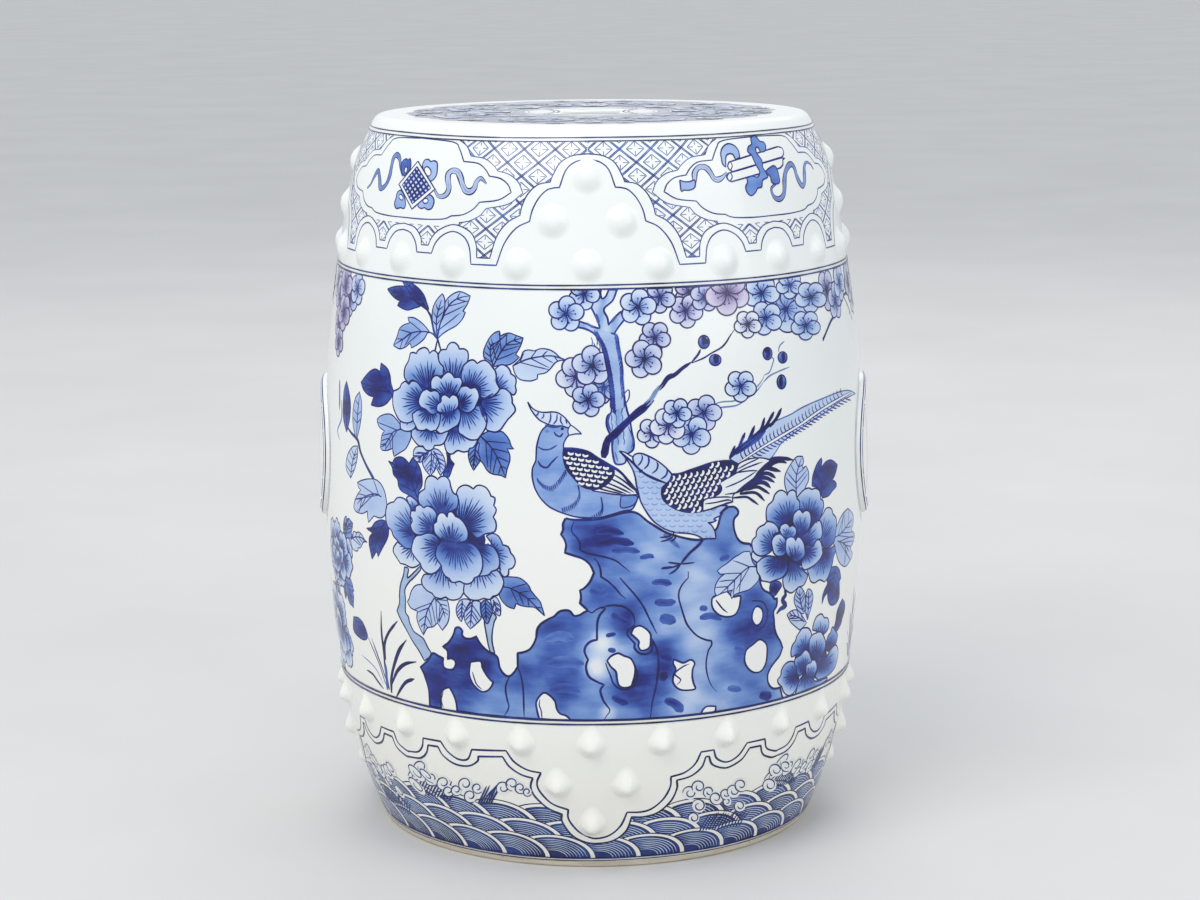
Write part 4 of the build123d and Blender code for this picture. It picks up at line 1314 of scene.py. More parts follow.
plum_blossoms = ((584, 294, 15, .14, .05, 80), (566, 314, 17, .16, .05, 60), (576, 377, 19, .12, .35, 100),
                 (588, 400, 16, .2, .15, 70), (592, 366, 19, .16, .25, 50), (604, 388, 15, .18, .1, 100),
                 (660, 297, 15, .16, .3, 90), (638, 307, 17.5, .12, .05, 65), (655, 337, 15, .18, .35, 90),
                 (644.5, 359, 18, .16, .3, 110), (690, 292, 15, .2, .6, 70), (686, 311, 16, .16, .5, 80),
                 (705, 297, 14, .2, .35, 60), (727.5, 293, 21, .22, .85, 20), (748, 324, 13, .05, .4, 90),
                 (762, 293, 17, .12, 0, 80), (766, 318, 16, .14, 0, 100), (790, 285, 13, .12, 0, 90),
                 (811, 297, 15, .16, .05, 90), (806, 325, 14, .16, 0, 90), (786, 309, 22, .14, 0, 80),
                 (741, 386, 15, .1, 0, 90), (652, 433, 14, .1, .3, 90), (668, 426, 17, .08, .35, 100),
                 (677, 413, 14, .14, .05, 80), (704, 413, 17, .16, .25, 70), (691.5, 434.5, 18.5, .14, .05, 90))
buds = ((704.2, 342, 5.6, 6.6), (715.5, 360, 5.8, 5.6), (768, 353.6, 4.6, 6.2), (783, 357.4, 4.6, 5.6),
        (782, 382, 4.6, 7.0))

# Grass, stems and stalks, then what grows at the sides
grass = """1.9 1 389,690 385,670 383,650 381,632 380.5,611
2.2 1 385,660 384,645 388,633 397,621
1.2 .9 388,688 383,672 377,655 371,638
1.0 .9 385,684 379,665 372,648 367,636
.7 .6 383,684 376,670 369,662 361,655
1.6 1 383,689 377,681 372,674 366,670
2.6 1 391,693 391,678 394,664 399,650 406,640
2.4 1 391,685 397,671 405,664 416,662
2.2 1 396,697 401,688 406,682 414,679
3 .6 387,690 386,676 385,664"""
stems = """.3 1 404,567* 403,575 400,585 399,595 399,603 396.5,611* 400,619 406,630 412,641 418,650 424,661* 431,655
  427,647 423,639 418,635 413,631 409,622 408,617 405,612 405,600 404.5,590 408,583 414,577 420,570 420,566* 414,572
  407,578 408,569
.3 1 484,612* 484,622 486,634 488,645 490,652* 494.5,653.5* 492,643 492,633 494,622 496,617 491,612"""
stalks = (("424,306 428,312 431,318 434,333 437,339 441,352", 1.6), ("437,339 434,352 426,366", 1.3),
          ("343,420 350,432 357,440 360,452 366,466 373,479 381,497", 2.2),
          ("785,590 786,595 783,600 786,606 781,609 777,614", 3.0))
side_branches = (("-98,-322 -84,-332 -70,-336 -56,-344 -40,-345 -26,-350 -8,-347 8,-344 22,-346 40,-352", 1.9),
                 ("-56,-344 -46,-336 -38,-328", 1.1), ("-8,-347 0,-336 10,-330", 1.1), ("22,-346 30,-338", 0.9),
                 ("74,-336 66,-322 62,-310", 1.1))
side_blossoms = ((-86, 351, 12, .2, .5, 90), (-74, 343, 11, .2, .3, 60), (-62, 353, 11, .16, .1, 80),
                 (-36, 351, 12, .2, .6, 90), (-25, 340, 11, .18, .3, 70), (-12, 352, 12, .14, .05, 90),
                 (-2, 341, 11, .2, .7, 60), (12, 350, 12, .16, .2, 90), (46, 354, 11, .2, .5, 60),
                 (57, 346, 12, .25, .8, 90), (68, 354, 12, .25, .7, 70), (70, 337, 11, .25, .75, 90),
                 (60, 330, 10, .25, .8, 60), (80, 347, 11, .2, .4, 90), (64, 318, 9, .25, .7, 90),
                 (90, 354, 10, .16, .2, 60))

# The bands of the shoulder and the foot, and the foam
shoulder_arches = """0,437.5 2.6,436.6 4.8,432 6.2,421.8* 8.6,420.8 10.6,416 12,409 12.6,402* 15.5,398 18,389
  19.6,376* 25.5,376* 26.2,386 27.8,392 30.5,394.6 33.2,392 35,387 35.8,381* 40,381* 40.8,387 42.6,392 45,393.5"""
shoulder_frets = """0,441 3.4,440 6.2,436 7.9,428 8.3,424.8* 11,423.4 13.2,418 14.4,411 14.8,405.5* 17.6,401
  19.8,393 21.2,380* 24.2,380* 24.6,388 26.3,395 30.5,398.6 34.3,395 36.2,390 36.9,385.5* 38.9,385.5* 39.3,390
  41.5,395.4 45,397.2"""
panel_edge = """0,447.6 10.5,446.4 13,442.5 15,435.5* 18.8,434.8 21,431.5 22.3,427.6* 25,426.5 27,423 27.9,418.5*
  25,414 20.5,412.3* 19,408 16.5,404.6 13.6,403.6* 11.5,401.5 6,400.6 0,400.6"""
panel_frets = """0,452 8,451 11.6,448.3 14.8,444.5 16.6,438.8* 20.4,437.6 22.9,434 24.2,430.6* 27,429 29.4,424.5
  30.6,418.3* 27.4,411.8 22.2,408.8* 20.8,404.5 18,400.9 14.6,399.6* 12,398 6,397.2 0,397.2"""
foot_arches = """-45,67 -42,68.5 -40.3,73 -39.6,79* -34.6,79.5* -33,73.5 -30.5,69.6 -28,70.5 -26.6,77.5* -18.5,79.5*
  -16.8,72.5 -14,67.8 -11,66.3* -12,60 -11.7,54.5 -10,48 -8.3,44.5 -5.4,41.7* -5.4,35 -3.5,27 -1,22.5 1,21.3 4,23.5
  6.5,30 7.9,39.5* 11,39.2 13.5,41 16,47 17.4,55 17.4,62* 20.5,64 22.8,69 24,76.5* 27,76.7* 28,70.5 30.7,67 33.5,70
  35.5,77.4* 40.5,77.3* 41.5,70.5 44.3,67 45,67"""
foot_edge = """-45,63.2 -41.6,64.5 -39.4,69 -38.4,75* -35.6,75.5* -34.4,70 -31.5,65.8 -28,66 -25.6,70 -25.2,73.5*
  -19.4,75.3* -18,69 -15.5,64.3 -12.9,62.4* -13.5,57 -13,51 -11,44.5 -9.2,41 -6.9,38.4* -6.9,33 -5,24 -2,18.9 1,17.6
  4.8,19.5 7.8,26 9,36* 11.8,35.6 15,38 17.8,45 19,53.5 18.8,59.2* 22,61 24.4,66 25.2,72.8* 26,72.8* 27,67 29.8,63.4
  31.8,63.5 34.6,67 36.4,73.6* 39.5,73.4* 40.6,67 43.4,63.2 45,63.2"""
antique_shapes = """.6 .9 404,176* 401,172 400.5,165 403,160 406,158.5 407.5,160 409.5,158 410.5,162 410,168 407,173
.0 .8 404,172 405,167 407,168 405.5,173
.3 .9 422,165* 424,160 428,159 430.5,161.5 433,160.5 436.5,162 437,168 436,175 433,179.5 430,181* 427,178 423,171
.0 .8 424,168 427,166.5 430,169.5 430.5,174 427.5,176 424.5,172
.4 .9 400,190* 397,192 395.5,198 394,204 396,208.5 400,207.5 403.5,208.5 405,204 404,197 402,192
.0 .8 400,194 402.5,196.5 402,200 399.5,199 398.5,196
.35 .9 419,200* 424,196 429,194.5 433,198 433.5,203 431,208.5 427,209.5 424,207.5 421,208.5 417.5,206
.0 .8 423.5,199 427,198.5 427.5,202 424.5,203.5 422.5,201.5
.0 .9 417.5,161* 434.5,189* 411.5,209* 398.5,184*
.12 .9 416.5,166.5* 430.5,188* 412,203.5* 402,184.5*
.35 .9 680,180* 684,181.5 690,181.5 695,180 695,187 690,190 684,190 681.5,191
.3 .9 722,160* 721,153 723,147 728,143.5 734,145 738.5,150 740,157* 736,159 733,154 728,154 726,158 726,167* 723,164
.0 1.0 729,162* 778,146.5* 782.5,148 784,153.5 782,157* 733,171.5* 729,168
.0 1.0 729,173* 781,158 783,160 783,165 780,168* 732,181.5* 728,179 727,176
.0 .8 730,161.5 732.5,165.5 730.5,170 728,166
.0 .8 730,172.5 732.5,176.5 730,181 727.5,177
.5 .9 752,155* 748,151 749,146 752,144 751,138 754,135.5 757,137 760,141 764,142 766,146 765,151 761,152* 758,147
  756,148 757,153 762,160 763,167 766,172* 768,177 763,180 762,187 758,188 756,192 752,195.5 748,193 746,187 748,182
  747,178* 752,176 758,177 760,172 757,166 754,160
.6 .9 766,171* 770,167.5 774,165.5 777,168 779,175 780,182 776,184 772,182 771,177 768,174"""
antique_ribbons = """2.2 0.55 366.5,188 370,184 374,176 377.5,170.5 379,178 380,188 385,185 389,176 391,166 393,158
  396,154.5 399,158 400,166 402,176
2.8 0.3 434,189 437,195 441,196.5 446,194 448.5,188 447.5,180 448,174 452,170.5 457,171.5 460,177 462,184 465,190
  470,191.5 474,188 476,182 480,178 483,180 486,183.5
2.4 0.3 695,187 695,180 695,173 698,168 702,166.5 707,168 711,173 714,178 718,179.5 723,177 727,172
2.4 0.5 776,184 772,188 773,194 776,198 780,199 784,195 785,188 785,180 786,172 789,165.5 792,164 795,168 797,175
  800,182 803,186 805,182 805,174 805,166 807,162 811,164 814,169"""
spray = ((690, 793, 6, 180), (699, 787, 6, 150), (709, 792, 5, 120), (716, 798, 6, 60), (726, 794, 5, 90),
         (734, 791, 6, 130), (741, 785, 6, 60), (699, 806, 6, 200), (694, 818, 5, 160), (740, 806, 5, 120),
         (727, 802, 4, 40), (770, 785, 6, 150), (776, 770, 6, 120), (786, 766, 5, 60), (415, 776, 6, 180),
         (420, 767, 6, 120), (431, 779, 6, 60), (443, 783, 6, 90), (448, 791, 5, 40), (456, 790, 5, 60),
         (465, 784, 6, 120), (470, 796, 6, 60), (477, 788, 5, 40), (503, 788, 6, 140), (512, 784, 6, 90),
         (520, 788, 5, 60), (527, 792, 4, 30))


def inked(art, rows, violet=0.0, grey=0.0):
    """Brush lines, a row each: width, depth and the points."""
    for row in rows_of(rows):
        width, depth, path = row.split(" ", 2)
        art.line(path, float(width), float(depth), violet, grey, taper=(0.5, 0.25))


def filled(art, rows, grey=0.0):
    """Washes, a row each: depth, width of the inked edge and the outline."""
    for row in rows_of(rows):
        depth, edge, path = row.split(" ", 2)
        art.wash(path, float(depth), grey=grey)
        art.line(path, float(edge), 0.95, grey=grey, closed=True)
        art.layer += 1


def hatched(art, spots, strokes, width, depth, taper):
    """The same short strokes at each of the spots."""
    for spot in spots:
        for stroke in strokes:
            art.line([spot + step for step in stroke], width, depth, taper=taper)


def spun(turn):
    """What turns rows of flat points by an angle in radians."""
    c, s = cos(turn), sin(turn)
    return np.array([[c, s], [-s, c]])


def scales(art, outline, across, down, size, lean, width, depth):
    """Rows of small crescents inside an outline, laid like roof tiles."""
    loop = drawn(outline, True)
    middle = loop.mean(0)
    reach, turn = to(loop, middle).max(), spun(radians(lean))
    rows, columns = int(reach / down) + 1, int(reach / across) + 1
    bend = np.radians(np.linspace(15, 165, 6))
    crescent = size * np.stack([np.cos(bend), np.sin(bend) * 0.85], 1)
    for j in range(-rows, rows + 1):
        for i in range(-columns, columns + 1):
            spot = np.array([(i + 0.5 * (j % 2)) * across, j * down])
            arc = middle + (spot + crescent) @ turn
            if inside(arc, loop).all():
                art.line(arc, width, depth, taper=(0.3, 0.3))


def wing(art, outline, quills, tilt):
    """A dark wing with rows of pale scales, over its pale quills."""
    art.layer += 1
    art.wash(quills, 0.03)
    art.line(quills, 0.9, 0.95, closed=True)
    art.layer += 1
    art.wash(outline, 0.97)
    art.layer += 1
    scales(art, outline, 7.4, 4.7, 2.9, tilt, 1.35, 0.02)
    art.line(outline, 0.9, 0.97, closed=True)


def rock_tone(flat):
    """How deep the rock is at each point: mottled, and deeper in its shade."""
    u, v = flat.T
    tone = 0.42 + 0.07 * np.sin(u * 0.13 + 2 * np.sin(v * 0.05)) * np.sin(v * 0.16 + 1)
    for x, y, reach, more in rock_shade:
        tone += 1.5 * more * np.exp(-((u - x) ** 2 + (v - y) ** 2) / (2 * (reach * 0.6) ** 2))
    return np.clip(tone, 0.05, 0.86)


def framed(pixels):
    """What is seen at the pixels, kept between the two rings round the drum."""
    spots = seen(pixels)
    spots[:, 1] = np.clip(spots[:, 1], garden_low, garden_high)
    return spots


# Turns of what is painted twice or four times round, the ends of a line that
# doesn't thin, a full turn of a ring, and the part of the paper that bakes cover
front_and_back, quarters, even = (0, 180), (0, 90, 180, 270), (1, 1)
full_turn = np.radians(np.arange(0, 361, 3))
garden_cover, foot_cover, seat_cover = (-76, 76, 84, 376), (-50, 50, 5, 100), (-135, 135, -135, 135)

# Layers of the garden. Each of five blossoms in turn has its own five, and what
# has several more counts on from its first
leaf_layer, peony_layer, trunk_layer, branch_layer, blossom_layer = 4, 5, 2, 3, 4
bird_layer, tail_layer, second_bird_layer, bark_layer = 6, 13, 16, 30


def paint_trunk(art):
    """The bent trunk with its streaked bark."""
    art.layer = trunk_layer
    art.wash(trunk, lambda flat: 0.3 + 0.1 * np.sin(flat[:, 0] * 0.4 + np.sin(flat[:, 1] * 0.1)), grey=0.15)
    art.line(trunk, 1.2, 0.9, closed=True)
    spine = drawn("598,335 606,352 613,372 616,395 618,420 620,450", step=9)
    for way in (-7, -2, 4):
        hatched(art, spine[:-2], [((way, 2), (way + 1.5, 6), (way + 1, 11))], 0.7, 0.6, (0.4, 0.3))


def paint_bark(art):
    """The trunk stands before the blossoms on its left, with a dark hatched edge."""
    left, right = drawn(left_bark, step=4.4), drawn(right_bark, step=4.4)
    art.layer = bark_layer
    art.wash(np.vstack([left, right]), 0.32, grey=0.15)
    art.line(left, 1.5, 0.95, taper=(0.3, 0.4))
    art.line(right, 1.2, 0.9, taper=(0.3, 1))
    art.layer += 1
    hatched(art, left[1:-1], [((0.4, -2), (2.6, 1.5), (4.2, 5.5))], 1.7, 0.85, (1, 0.2))
    hatched(art, right[3:-2], [((-0.3, -2), (-1.6, 1), (-2.4, 4))], 1.1, 0.75, (1, 0.2))


def paint_birds(art):
    """Two birds, the nearer one with its long tail over the other."""
    art.layer = bird_layer
    filled(art, first_bird)
    wing(art, first_wing, first_quills, 8)
    art.layer = tail_layer
    art.wash(long_tail, 0.2)
    art.line(long_tail, 0.8, 0.75, closed=True)
    shaft = drawn("740,462 760,449 780,437 800,425 820,411 838,400 852,392")
    barbs = [((0, 0), (-2.5, -4.5), (-2.5, -8.5)), ((0, 0), (4.0, 2.5), (8.0, 3.5))]
    hatched(art, shaft[2:-5:2], barbs, 0.9, 0.9, (1, 0.3))
    art.layer = tail_layer + 1
    art.line(shaft, 2.6, 0.97)
    art.layer = tail_layer + 2
    art.line(shaft, 1.3, 0.02, pale=1)
    art.layer = tail_layer + 1
    inked(art, tail_spikes)
    art.layer = second_bird_layer
    filled(art, second_bird)
    breast = rows_of(second_bird)[0].split(" ", 2)[2]
    scales(art, breast, 9, 5.5, 3.2, 0, 0.55, 0.45)
    wing(art, second_wing, second_quills, -62)
    art.layer += 1
    inked(art, bird_lines)
    for feathers in ("537,478 543,484 551,486 558,480 565,470", "578,485 579,493 576,500 570,505 562,508",
                     "601,497 602,505 600,511 592,516"):
        hatched(art, drawn(feathers, step=2.6), [((0, 0), (1.2, 5.4))], 0.9, 0.8, (0.8, 0.3))


def paint_garden():
    """The garden scene of the front and the back: peonies, plum, rock and two birds."""
    art = Brushwork("garden_scene", on_drum, garden_cover, front_and_back, framed)
    art.wash(rock_edge, rock_tone)
    art.deepen = 1.35
    inked(art, rock_streaks)
    art.deepen = 1.0
    art.layer = 1
    art.line(rock_edge, 1.5, 1, closed=True)
    inked(art, rock_lines)
    for hollow in rows_of(rock_hollows):
        art.wash(hollow, 0.01)
        art.line(hollow, 1.3, 1, closed=True)
    inked(art, grass)
    filled(art, stems, grey=0.35)
    for path, width in stalks:
        art.line(path, width, 0.9, grey=0.4)
    paint_trunk(art)
    art.layer = branch_layer
    inked(art, pale_branches, 0.35, 0.5)
    inked(art, branch_lines, 0.12)
    for x, y, wide, tall in buds:
        bud = written((x + wide * cos(t), y + tall * sin(t)) for t in np.arange(10) * pi / 5)
        art.wash(bud, lambda flat: 0.6 + 0.03 * (flat[:, 1] - y), 0.15)
        art.line(bud, 0.9, 0.97, 0.15, closed=True)
    # Neighbours are on different layers, so no petal lies in another's
    for k, plum in enumerate(plum_blossoms):
        art.layer = blossom_layer + 5 * (k % 5)
        blossom(art, *plum)
    paint_bark(art)
    flowers = Brushwork("garden_peonies", on_drum, garden_cover, front_and_back, framed)
    flowers.layer = leaf_layer
    for row in rows_of(edge_leaves) + rows_of(left_leaves) + rows_of(right_leaves):
        leaf(flowers, row)
    for flower in (upper_peony, lower_peony, right_peony, low_peony):
        flowers.layer = peony_layer
        peony(flowers, flower)
    flowers.finished()
    paint_birds(art)
    art.finished()


def laid_flat(turn, z, size, x0, y0, radius=174.5):
    """Places what is drawn about a pixel at an angle and a height of the drum."""
    def place(pixels):
        return np.stack([turn + np.degrees((pixels[:, 0] - x0) * size / radius),
                         np.clip(z - (pixels[:, 1] - y0) * size, garden_low, garden_high)], 1)
    return place


def paint_sides():
    """What joins the two garden scenes over and under the coins."""
    art = Brushwork("side_sprays", on_drum, (45, 125, 95, 375), front_and_back, laid_flat(90, 0, 1, 0, 0))
    for path, width in side_branches:
        art.line(path, width, 0.95, grey=0.3, taper=(1, 0.3))
    for x, y in ((-38, 328), (-43, 332), (10, 330), (6, 334), (30, 338), (62, 310), (-98, 322)):
        art.line([(x - 0.8, -y), (x + 0.8, -y)], 2.2, 0.9, grey=0.3, taper=even)
    for k, (x, z, *look) in enumerate(side_blossoms):
        art.layer = blossom_layer + 5 * (k % 4)
        blossom(art, x, -z, *look)
    leaves = rows_of(left_leaves)
    for turn, z, size, x0, y0, held, flower in (
            (112.5, 182, 0.4, 455, 402, leaves[10:16], upper_peony),
            (107.5, 133, 0.42, 450, 540, leaves[8:10] + leaves[17:18], lower_peony)):
        art.paper = laid_flat(turn, z, size, x0, y0)
        art.layer = 2
        for row in held:
            leaf(art, row)
        art.layer = 3
        peony(art, flower)
    art.paper = laid_flat(78, 125, 0.6, 390, 660)
    art.layer = 1
    inked(art, grass)
    art.finished()


def both_ways(half, about=0.0):
    """A line written from the middle outwards, joined to its mirror image."""
    half = drawn(half, step=1.3)
    return np.vstack([half[::-1] * (-1, 1), half[1:]]) + (about, 0)


def rings_round():
    """The pairs of rings that part the bands."""
    art = Brushwork("band_rings", on_drum, (0, 360, 0, 457))
    art.layer = 31
    turn = np.arange(0, 360.1, 1.5)
    for z, width in ((450.1, 0.75), (448.0, 0.7), (365.2, 0.85), (362.9, 0.95), (101.6, 1.4), (98.9, 1.1),
                     (6.6, 1.0), (4.9, 0.7)):
        rise = z + 0.16 * np.sin(np.radians(turn * 3)) + 0.12 * np.sin(np.radians(turn * 7 + z))
        art.line(np.stack([turn, rise], 1), width, 0.95, grey=0.35, taper=even)
    art.finished()


def paint_shoulder():
    """Fret ground of the shoulder with lobed panels, over arches that ring the bosses."""
    art = Brushwork("shoulder_frets", on_drum, (-46, 92, 360, 457), quarters)
    edge, panel = both_ways(shoulder_frets), both_ways(panel_frets, 45)
    # The ground runs from one group of bosses to the next, up to the rings
    half, top = len(edge) // 2, 448.0
    ground = np.vstack([edge[half:], edge[:half + 1] + (90, 0), [(90, top), (0, top)]])
    # Millimetres in a degree there, and how close the points of a track are
    degree, close = 2.65, 0.7

    def clipped(a, b, width, depth):
        """The runs of a straight line that lie on the open ground."""
        a, b = np.array(a), np.array(b)
        count = max(3, int(np.hypot((b[0] - a[0]) * degree, b[1] - a[1]) / close))
        track = a + np.linspace(0, 1, count)[:, None] * (b - a)
        held = np.concatenate([[False], inside(track, ground) & ~inside(track, panel), [False]])
        ends = np.flatnonzero(held[1:] != held[:-1])
        for start, stop in zip(ends[::2], ends[1::2]):
            if stop - start > 1:
                art.line(track[start:stop], width, depth, grey=0.35, taper=even)

    # A lattice of double lines, with a diamond and four spokes at each crossing
    across, down, climb = 3.75, 7.75, 24
    low = 435.8 - down * 9
    for k in range(-22, 46):
        for lean in (1, -1):
            for apart in (-0.22, 0.22):
                x = k * 2 * across + apart
                clipped((x, low), (x + lean * climb * across, low + climb * down), 0.6, 0.72)
    w, h = across * 0.56, down * 0.56
    for j in range(-1, 12):
        for i in range(-1, 26):
            middle = np.array([(i + 0.5 * (j % 2)) * 2 * across, low + (j + 1) * down])
            corners = middle + [(w, 0), (0, h), (-w, 0), (0, -h)]
            for a, b in zip(corners, np.roll(corners, -1, 0)):
                clipped(a, b, 0.5, 0.72)
                clipped(middle + (a - middle) * 0.85, middle + (a - middle) * 0.3, 0.45, 0.66)
    art.layer = 1
    for line, width in ((shoulder_arches, 0.85), (shoulder_frets, 0.75)):
        art.line(both_ways(line), width, 0.82, grey=0.4, taper=even)
    art.line(both_ways(panel_edge, 45), 0.8, 0.82, grey=0.4, closed=True)
    upper = panel[(panel[:, 1] > 399.7) & (panel[:, 1] < 448.2)]
    left = upper[:, 0] < 45
    for side in (upper[left], upper[~left]):
        art.line(side, 0.6, 0.68, grey=0.4, taper=even)
    art.finished()


def paint_antiques():
    """The scholar's things with their ribbons, in the panels of the shoulder."""
    art = Brushwork("panel_antiques", on_drum, (-76, 76, 390, 457), front_and_back, seen)
    for row in rows_of(antique_ribbons):
        width, depth, path = row.split(" ", 2)
        width, depth, track = float(width), float(depth), drawn(path, step=1.2)
        art.layer = 0
        art.line(track, width + 1.3, 1, violet=0.15, taper=(0.4, 0.3), pale=1)
        art.layer = 1
        art.line(track, width, depth, violet=0.15, taper=(0.3, 0.2))
        art.line(track + (0.6, 0.5), 0.45, depth + 0.4, taper=(0.3, 0.3))
    art.layer = 2
    filled(art, antique_shapes)
    # The lattice of the lozenge, both ways across
    corners = np.array([(416.5, 166.5), (430.5, 188), (412, 203.5), (402, 184.5)])
    for t in (0.14, 0.32, 0.5, 0.68, 0.86):
        for a, b, c, d in ((0, 1, 3, 2), (0, 3, 1, 2)):
            start, end = corners[a] + (corners[b] - corners[a]) * t, corners[c] + (corners[d] - corners[c]) * t
            art.line(np.linspace(start, end, 8), 1.5, 0.88, taper=even)
    art.finished()


def paint_foot():
    """Rolling waves round the foot, under a line of arches, and their foam."""
    art = Brushwork("foot_waves", on_drum, foot_cover, quarters)
    dice = random.Random(11)
    pitch, reach = 11.25, 10.6
    meet = degrees(acos(-pitch / 2 / reach))

    def ellipse(size, rise, start, stop, count):
        turn = np.radians(np.linspace(start, stop, count))
        return np.stack([size * reach * np.cos(turn), size * rise * np.sin(turn)], 1)

    for row, (shift, z0, rise) in enumerate(((0.0, 25.0, 20.0), (5.6, 15.5, 18.5), (1.4, 6.4, 17.0))):
        own, left = ellipse(1, rise, 0, meet, 40), ellipse(1, rise, 180 - meet, 0, 22) - (pitch, 0)
        # A wave shows where its neighbour on the left doesn't cover it
        clear = lambda track: track[np.hypot((track[:, 0] + pitch) / reach, track[:, 1] / rise) > 1.0]
        for k in range(8):
            at = np.array([-45 + shift + k * pitch, z0])
            art.layer = 5 * row
            art.wash(np.vstack([own, left[1:]]) + at, 0.0)
            art.layer = 5 * row + 1
            art.line(own + at, 0.8, 0.95, grey=0.5, taper=even)
            inner = clear(ellipse(0.87, rise, 0, 180, 60))
            side = left[left[:, 1] < inner[-1, 1]]
            art.wash(np.vstack([inner, side]) + at, lambda flat: 0.86 - 0.16 * (flat[:, 1] - z0) / rise,
                     grey=0.4)
            art.layer = 5 * row + 2
            art.line(inner + at, 0.75, 0.97, grey=0.5, taper=even)
            for size in np.arange(0.79, 0.28, -0.075):
                track = clear(ellipse(size, rise, 2 + 8 * dice.random(), 178 - 10 * dice.random(), 44))
                if len(track) > 4:
                    art.line(track + at, 0.48, 0.12 + 0.12 * dice.random(), grey=0.4, taper=(0.3, 0.3), pale=1)
    # The bare ground over the waves, with its double edge
    art.layer = 16
    edge = drawn(foot_edge, step=0.7)
    art.wash(np.vstack([edge, [(45, 97.8), (-45, 97.8)]]), 0.0)
    art.layer = 18
    for line in (edge, drawn(foot_arches, step=0.7)):
        art.line(line, 1.3, 0.95, grey=0.6, taper=even)
    art.finished()
    art = Brushwork("wave_spray", on_drum, foot_cover, quarters, seen)
    art.layer = 19
    starts = [(700 + 3 * k, 831 - 0.3 * k) for k in range(14)]
    starts += [(416 + 3 * k, 791 + 0.9 * k) for k in range(12)] + [(478 + 2.5 * k, 804) for k in range(6)]
    for x, y in starts:
        tip = (x + 8 + dice.random() * 3, y - 15 - dice.random() * 4)
        art.line([(x, y), (x + 4, y - 8), tip], 1.2, 0.85, grey=0.45, taper=(1, 0.2))
    shrink = np.linspace(1, 0.3, 26)
    for k, (x, y, size, start) in enumerate(spray):
        art.layer = 20 + k % 7
        size *= 1.2
        ring = [(x + size * 0.95 * cos(a), y + size * 0.95 * sin(a)) for a in np.arange(12) * 2 * pi / 12]
        art.wash(ring, 0.04, grey=0.3)
        curl = arc_of(size * shrink, np.radians(start + np.linspace(0, 430, 26))) + (x, y)
        art.line(curl, 0.95, 0.88, grey=0.55, taper=(0.6, 0.5))
    art.finished()


def paint_seat():
    """The seat: a wreath of peonies on a clouded ground about the pierced square."""
    art = Brushwork("seat_painting", on_seat, seat_cover, quarters)
    art.deepen = 1.35
    angle = np.radians(np.arange(-45, 45.1, 1.5))
    edge_of = lambda radius: np.stack([radius * np.sin(angle), -radius * np.cos(angle)], 1)
    outer = edge_of(115.5 + 1.6 * np.sin(angle * 20) + 1.0 * np.sin(angle * 36))

    def clouds(flat):
        x, y = flat.T
        return 0.62 + 0.08 * np.sin(x * 0.21 + 1) * np.cos(y * 0.17) + 0.06 * np.sin(x * 0.6 + y * 0.4)

    def laid(turn, size, x0, y0, out=82):
        """Places what is drawn about a pixel at a turn and a distance from the middle."""
        def place(pixels):
            x, y = (pixels[:, 0] - x0) * size, -(pixels[:, 1] - y0) * size - out
            return np.stack([x * c - y * s, x * s + y * c], 1)
        c, s = cos(radians(turn)), sin(radians(turn))
        return place

    art.wash(np.vstack([outer, edge_of(51.5)[::-1]]), clouds, violet=0.5, grey=0.35)
    art.line(outer, 0.9, 0.8, grey=0.3, taper=even)
    # The seat is flat, so each leaf has a layer of its own
    leaves = rows_of(left_leaves)
    for turn, x0, y0, first_layer, held, flower in ((-22, 455, 402, 1, leaves[10:16], upper_peony),
                                                    (23, 450, 540, 7, leaves[7:10], lower_peony)):
        art.paper = laid(turn, 0.4, x0, y0)
        for k, row in enumerate(held):
            art.layer = first_layer + k
            leaf(art, row)
        art.layer = 10
        peony(art, flower)
    art.paper, art.layer = laid(0, 1.0, 0, 0), 28
    for x, y, size in ((-1, -22, 9), (0, 21, 8), (-42, -40, 8), (-73, -9, 8), (-20, 26, 5.5), (22, 27, 5.5)):
        blossom(art, x, y, size, 0.02, 0.2, 90)
    art.finished()
    art = Brushwork("seat_hole_lines", on_seat, seat_cover)
    for grow, width in ((3.4, 0.9), (6.4, 0.7)):
        art.line(square_hole(grow), width, 0.9, grey=0.3, closed=True)
    # Four petals round the hole, and the dark ground between them and the ring
    sweep = np.radians(np.linspace(-42.85, 42.85, 40))
    petal_radius, petal_middle, ground_radius = 43.4, 63.64, 49.5
    far = arc_of(petal_radius, sweep)
    near = (petal_middle, 0) + far * (-1, 1)
    wedge = np.vstack([far, arc_of(ground_radius, sweep)[::-1]])
    for side in range(4):
        spin = spun(side * pi / 2)
        for track, width in ((near, 1.1), (far, 1.1), (near * (0.9, 0.82) + (5.2, 0), 0.7),
                             (far * (0.93, 0.82), 0.7)):
            art.line(track @ spin, width, 0.9, grey=0.4, taper=even)
        art.wash(wedge @ spin, 0.5, violet=0.5, grey=0.4)
    art.layer = 2
    for radius, width in ((50.0, 1.0), (52.0, 0.6)):
        art.line(arc_of(radius, full_turn), width, 0.9, grey=0.3, taper=even)
    art.finished()


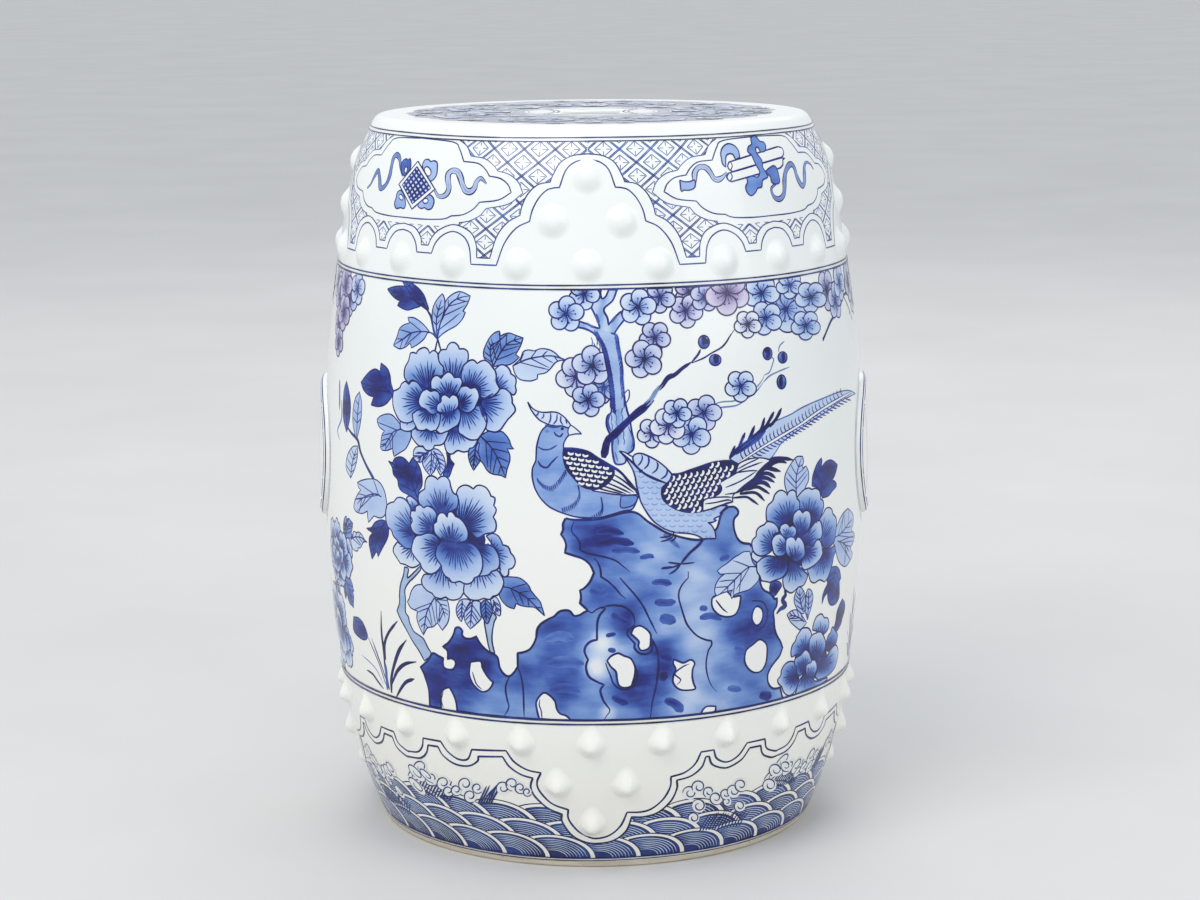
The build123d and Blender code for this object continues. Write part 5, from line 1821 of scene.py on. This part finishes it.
def paint_coins():
    """Fine lines round the pierced coins and their petals."""
    sweep = np.radians(np.linspace(-44, 44, 40))
    for side, hand in ((1, "right"), (-1, "left")):
        art = Brushwork("coin_lines_" + hand, lambda paper, lift: on_coin(paper, lift, side), (-50, 50, -50, 50))
        art.line(arc_of(45.7, full_turn), 0.9, 0.92, grey=0.3, taper=even)
        art.line(arc_of(43.4, full_turn), 0.6, 0.85, grey=0.3, taper=even)
        art.line(square_hole(2.2), 0.8, 0.92, grey=0.3, closed=True)
        for quarter in range(4):
            for grow, width in ((40.6, 0.7), (37.6, 0.5)):
                near = (petal_reach, 0) - arc_of(grow, sweep)
                near = near[np.hypot(near[:, 0], near[:, 1]) < 43.2]
                if len(near) > 4:
                    art.line(near @ spun(quarter * pi / 2), width, 0.7, grey=0.3, taper=(0.5, 0.5))
        art.finished()
        art = Brushwork("coin_surround_" + hand, on_drum, (60, 300, 150, 330))
        for reach, width in ((50.2, 1.1), (53.0, 0.7)):
            turn = 90 * side + np.degrees(np.arcsin(reach * np.cos(full_turn) / radius_at(coin_height)))
            rise = coin_height + reach * np.sin(full_turn)
            art.line(np.stack([turn, rise], 1), width, 0.92, grey=0.3, taper=even)
        art.finished()


def room():
    """A plain pale floor, a soft grey sky and three soft studio lights."""
    bpy.context.scene.view_settings.view_transform = "Standard"
    mesh = bpy.data.meshes.new("floor")
    mesh.from_pydata([(-60, -60, 0), (60, -60, 0), (60, 60, 0), (-60, 60, 0)], [], [(0, 1, 2, 3)])
    material, surface, node, links = tree_of("pale_floor")
    place = node("ShaderNodeTexCoord").outputs["Object"]
    colour = ramp(node, speckle(node, place, 3, 3), (0.3, (0.60, 0.60, 0.59)), (0.7, (0.64, 0.64, 0.63)))
    links.new(colour, surface.inputs["Base Color"])
    surface.inputs["Roughness"].default_value = 0.75
    mesh.materials.append(material)
    made = add_object("floor", mesh)
    world = bpy.data.worlds.new("soft_room")
    bpy.context.scene.world = world
    world.use_nodes = True
    sky = world.node_tree.nodes["Background"].inputs
    sky["Color"].default_value, sky["Strength"].default_value = (0.93, 0.96, 1.0, 1), 0.86
    for name, spot, aim, size, power, tint in (
            ("key", (-1.1, -1.7, 2.6), (0, 0, 0.25), (1.8, 1.8), 40, (1, 0.99, 0.97)),
            ("fill", (2.2, -1.4, 1.4), (0, 0, 0.25), (1.6, 2.0), 10, (0.95, 0.98, 1)),
            ("back", (0.4, 2.2, 2.2), (0, 0, 0.3), (2.0, 1.4), 16, (1, 1, 1))):
        data = bpy.data.lights.new(name, "AREA")
        data.shape, data.size, data.size_y, data.energy, data.color = "RECTANGLE", *size, power, tint
        towards = np.array(spot) - np.array(aim)
        back = towards / np.linalg.norm(towards)
        across = np.cross((0, 0, 1), back)
        across /= np.linalg.norm(across)
        stand(add_object(name, data), spot, across, np.cross(back, across), back)


set_up_camera()
carry(throw_drum(), "white_glaze", "drum_wall")
carry(seat_and_rim(), "white_glaze", "seat_slab")
carry(foot_rim(), "bare_foot", "foot_ring")
carry(coin(1, "coin_glaze_right"), "white_glaze", "coin_right")
carry(coin(-1, "coin_glaze_left"), "white_glaze", "coin_left")

# Bosses: how far each kind is drawn out and its reach, then the heights of the
# row all round, of the pairs and of the tips of the groups of three
row_pitch, group_pitch = 15.0, 90.0
rows = row_tree()
for kind, swell, drop, reach, row_z, pair_z, tip_z in (("shoulder", dome, 0.0, 10.8, 376.3, 402.0, 428.0),
                                                       ("foot", nose, 0.42, 12.0, 86.6, 59.5, 32.8)):
    form = (rows, swell, drop, reach)
    carry(boss_row(kind + "_boss_glaze", *form, row_z, row_pitch, 0.0), "white_glaze", kind + "_boss_row")
    pairs = [boss_row(kind + "_pair_glaze_" + hand, *form, pair_z, group_pitch, turn)
             for hand, turn in (("left", -row_pitch / 2), ("right", row_pitch / 2))]
    tips = boss_row(kind + "_tip_glaze", *form, tip_z, group_pitch, 0.0)
    carry(tips, "white_glaze", kind + "_boss_groups")
    for pair in pairs:
        carry(pair, "white_glaze")

for paint in (rings_round, paint_shoulder, paint_antiques, paint_garden, paint_sides, paint_foot, paint_seat,
              paint_coins):
    paint()
room()
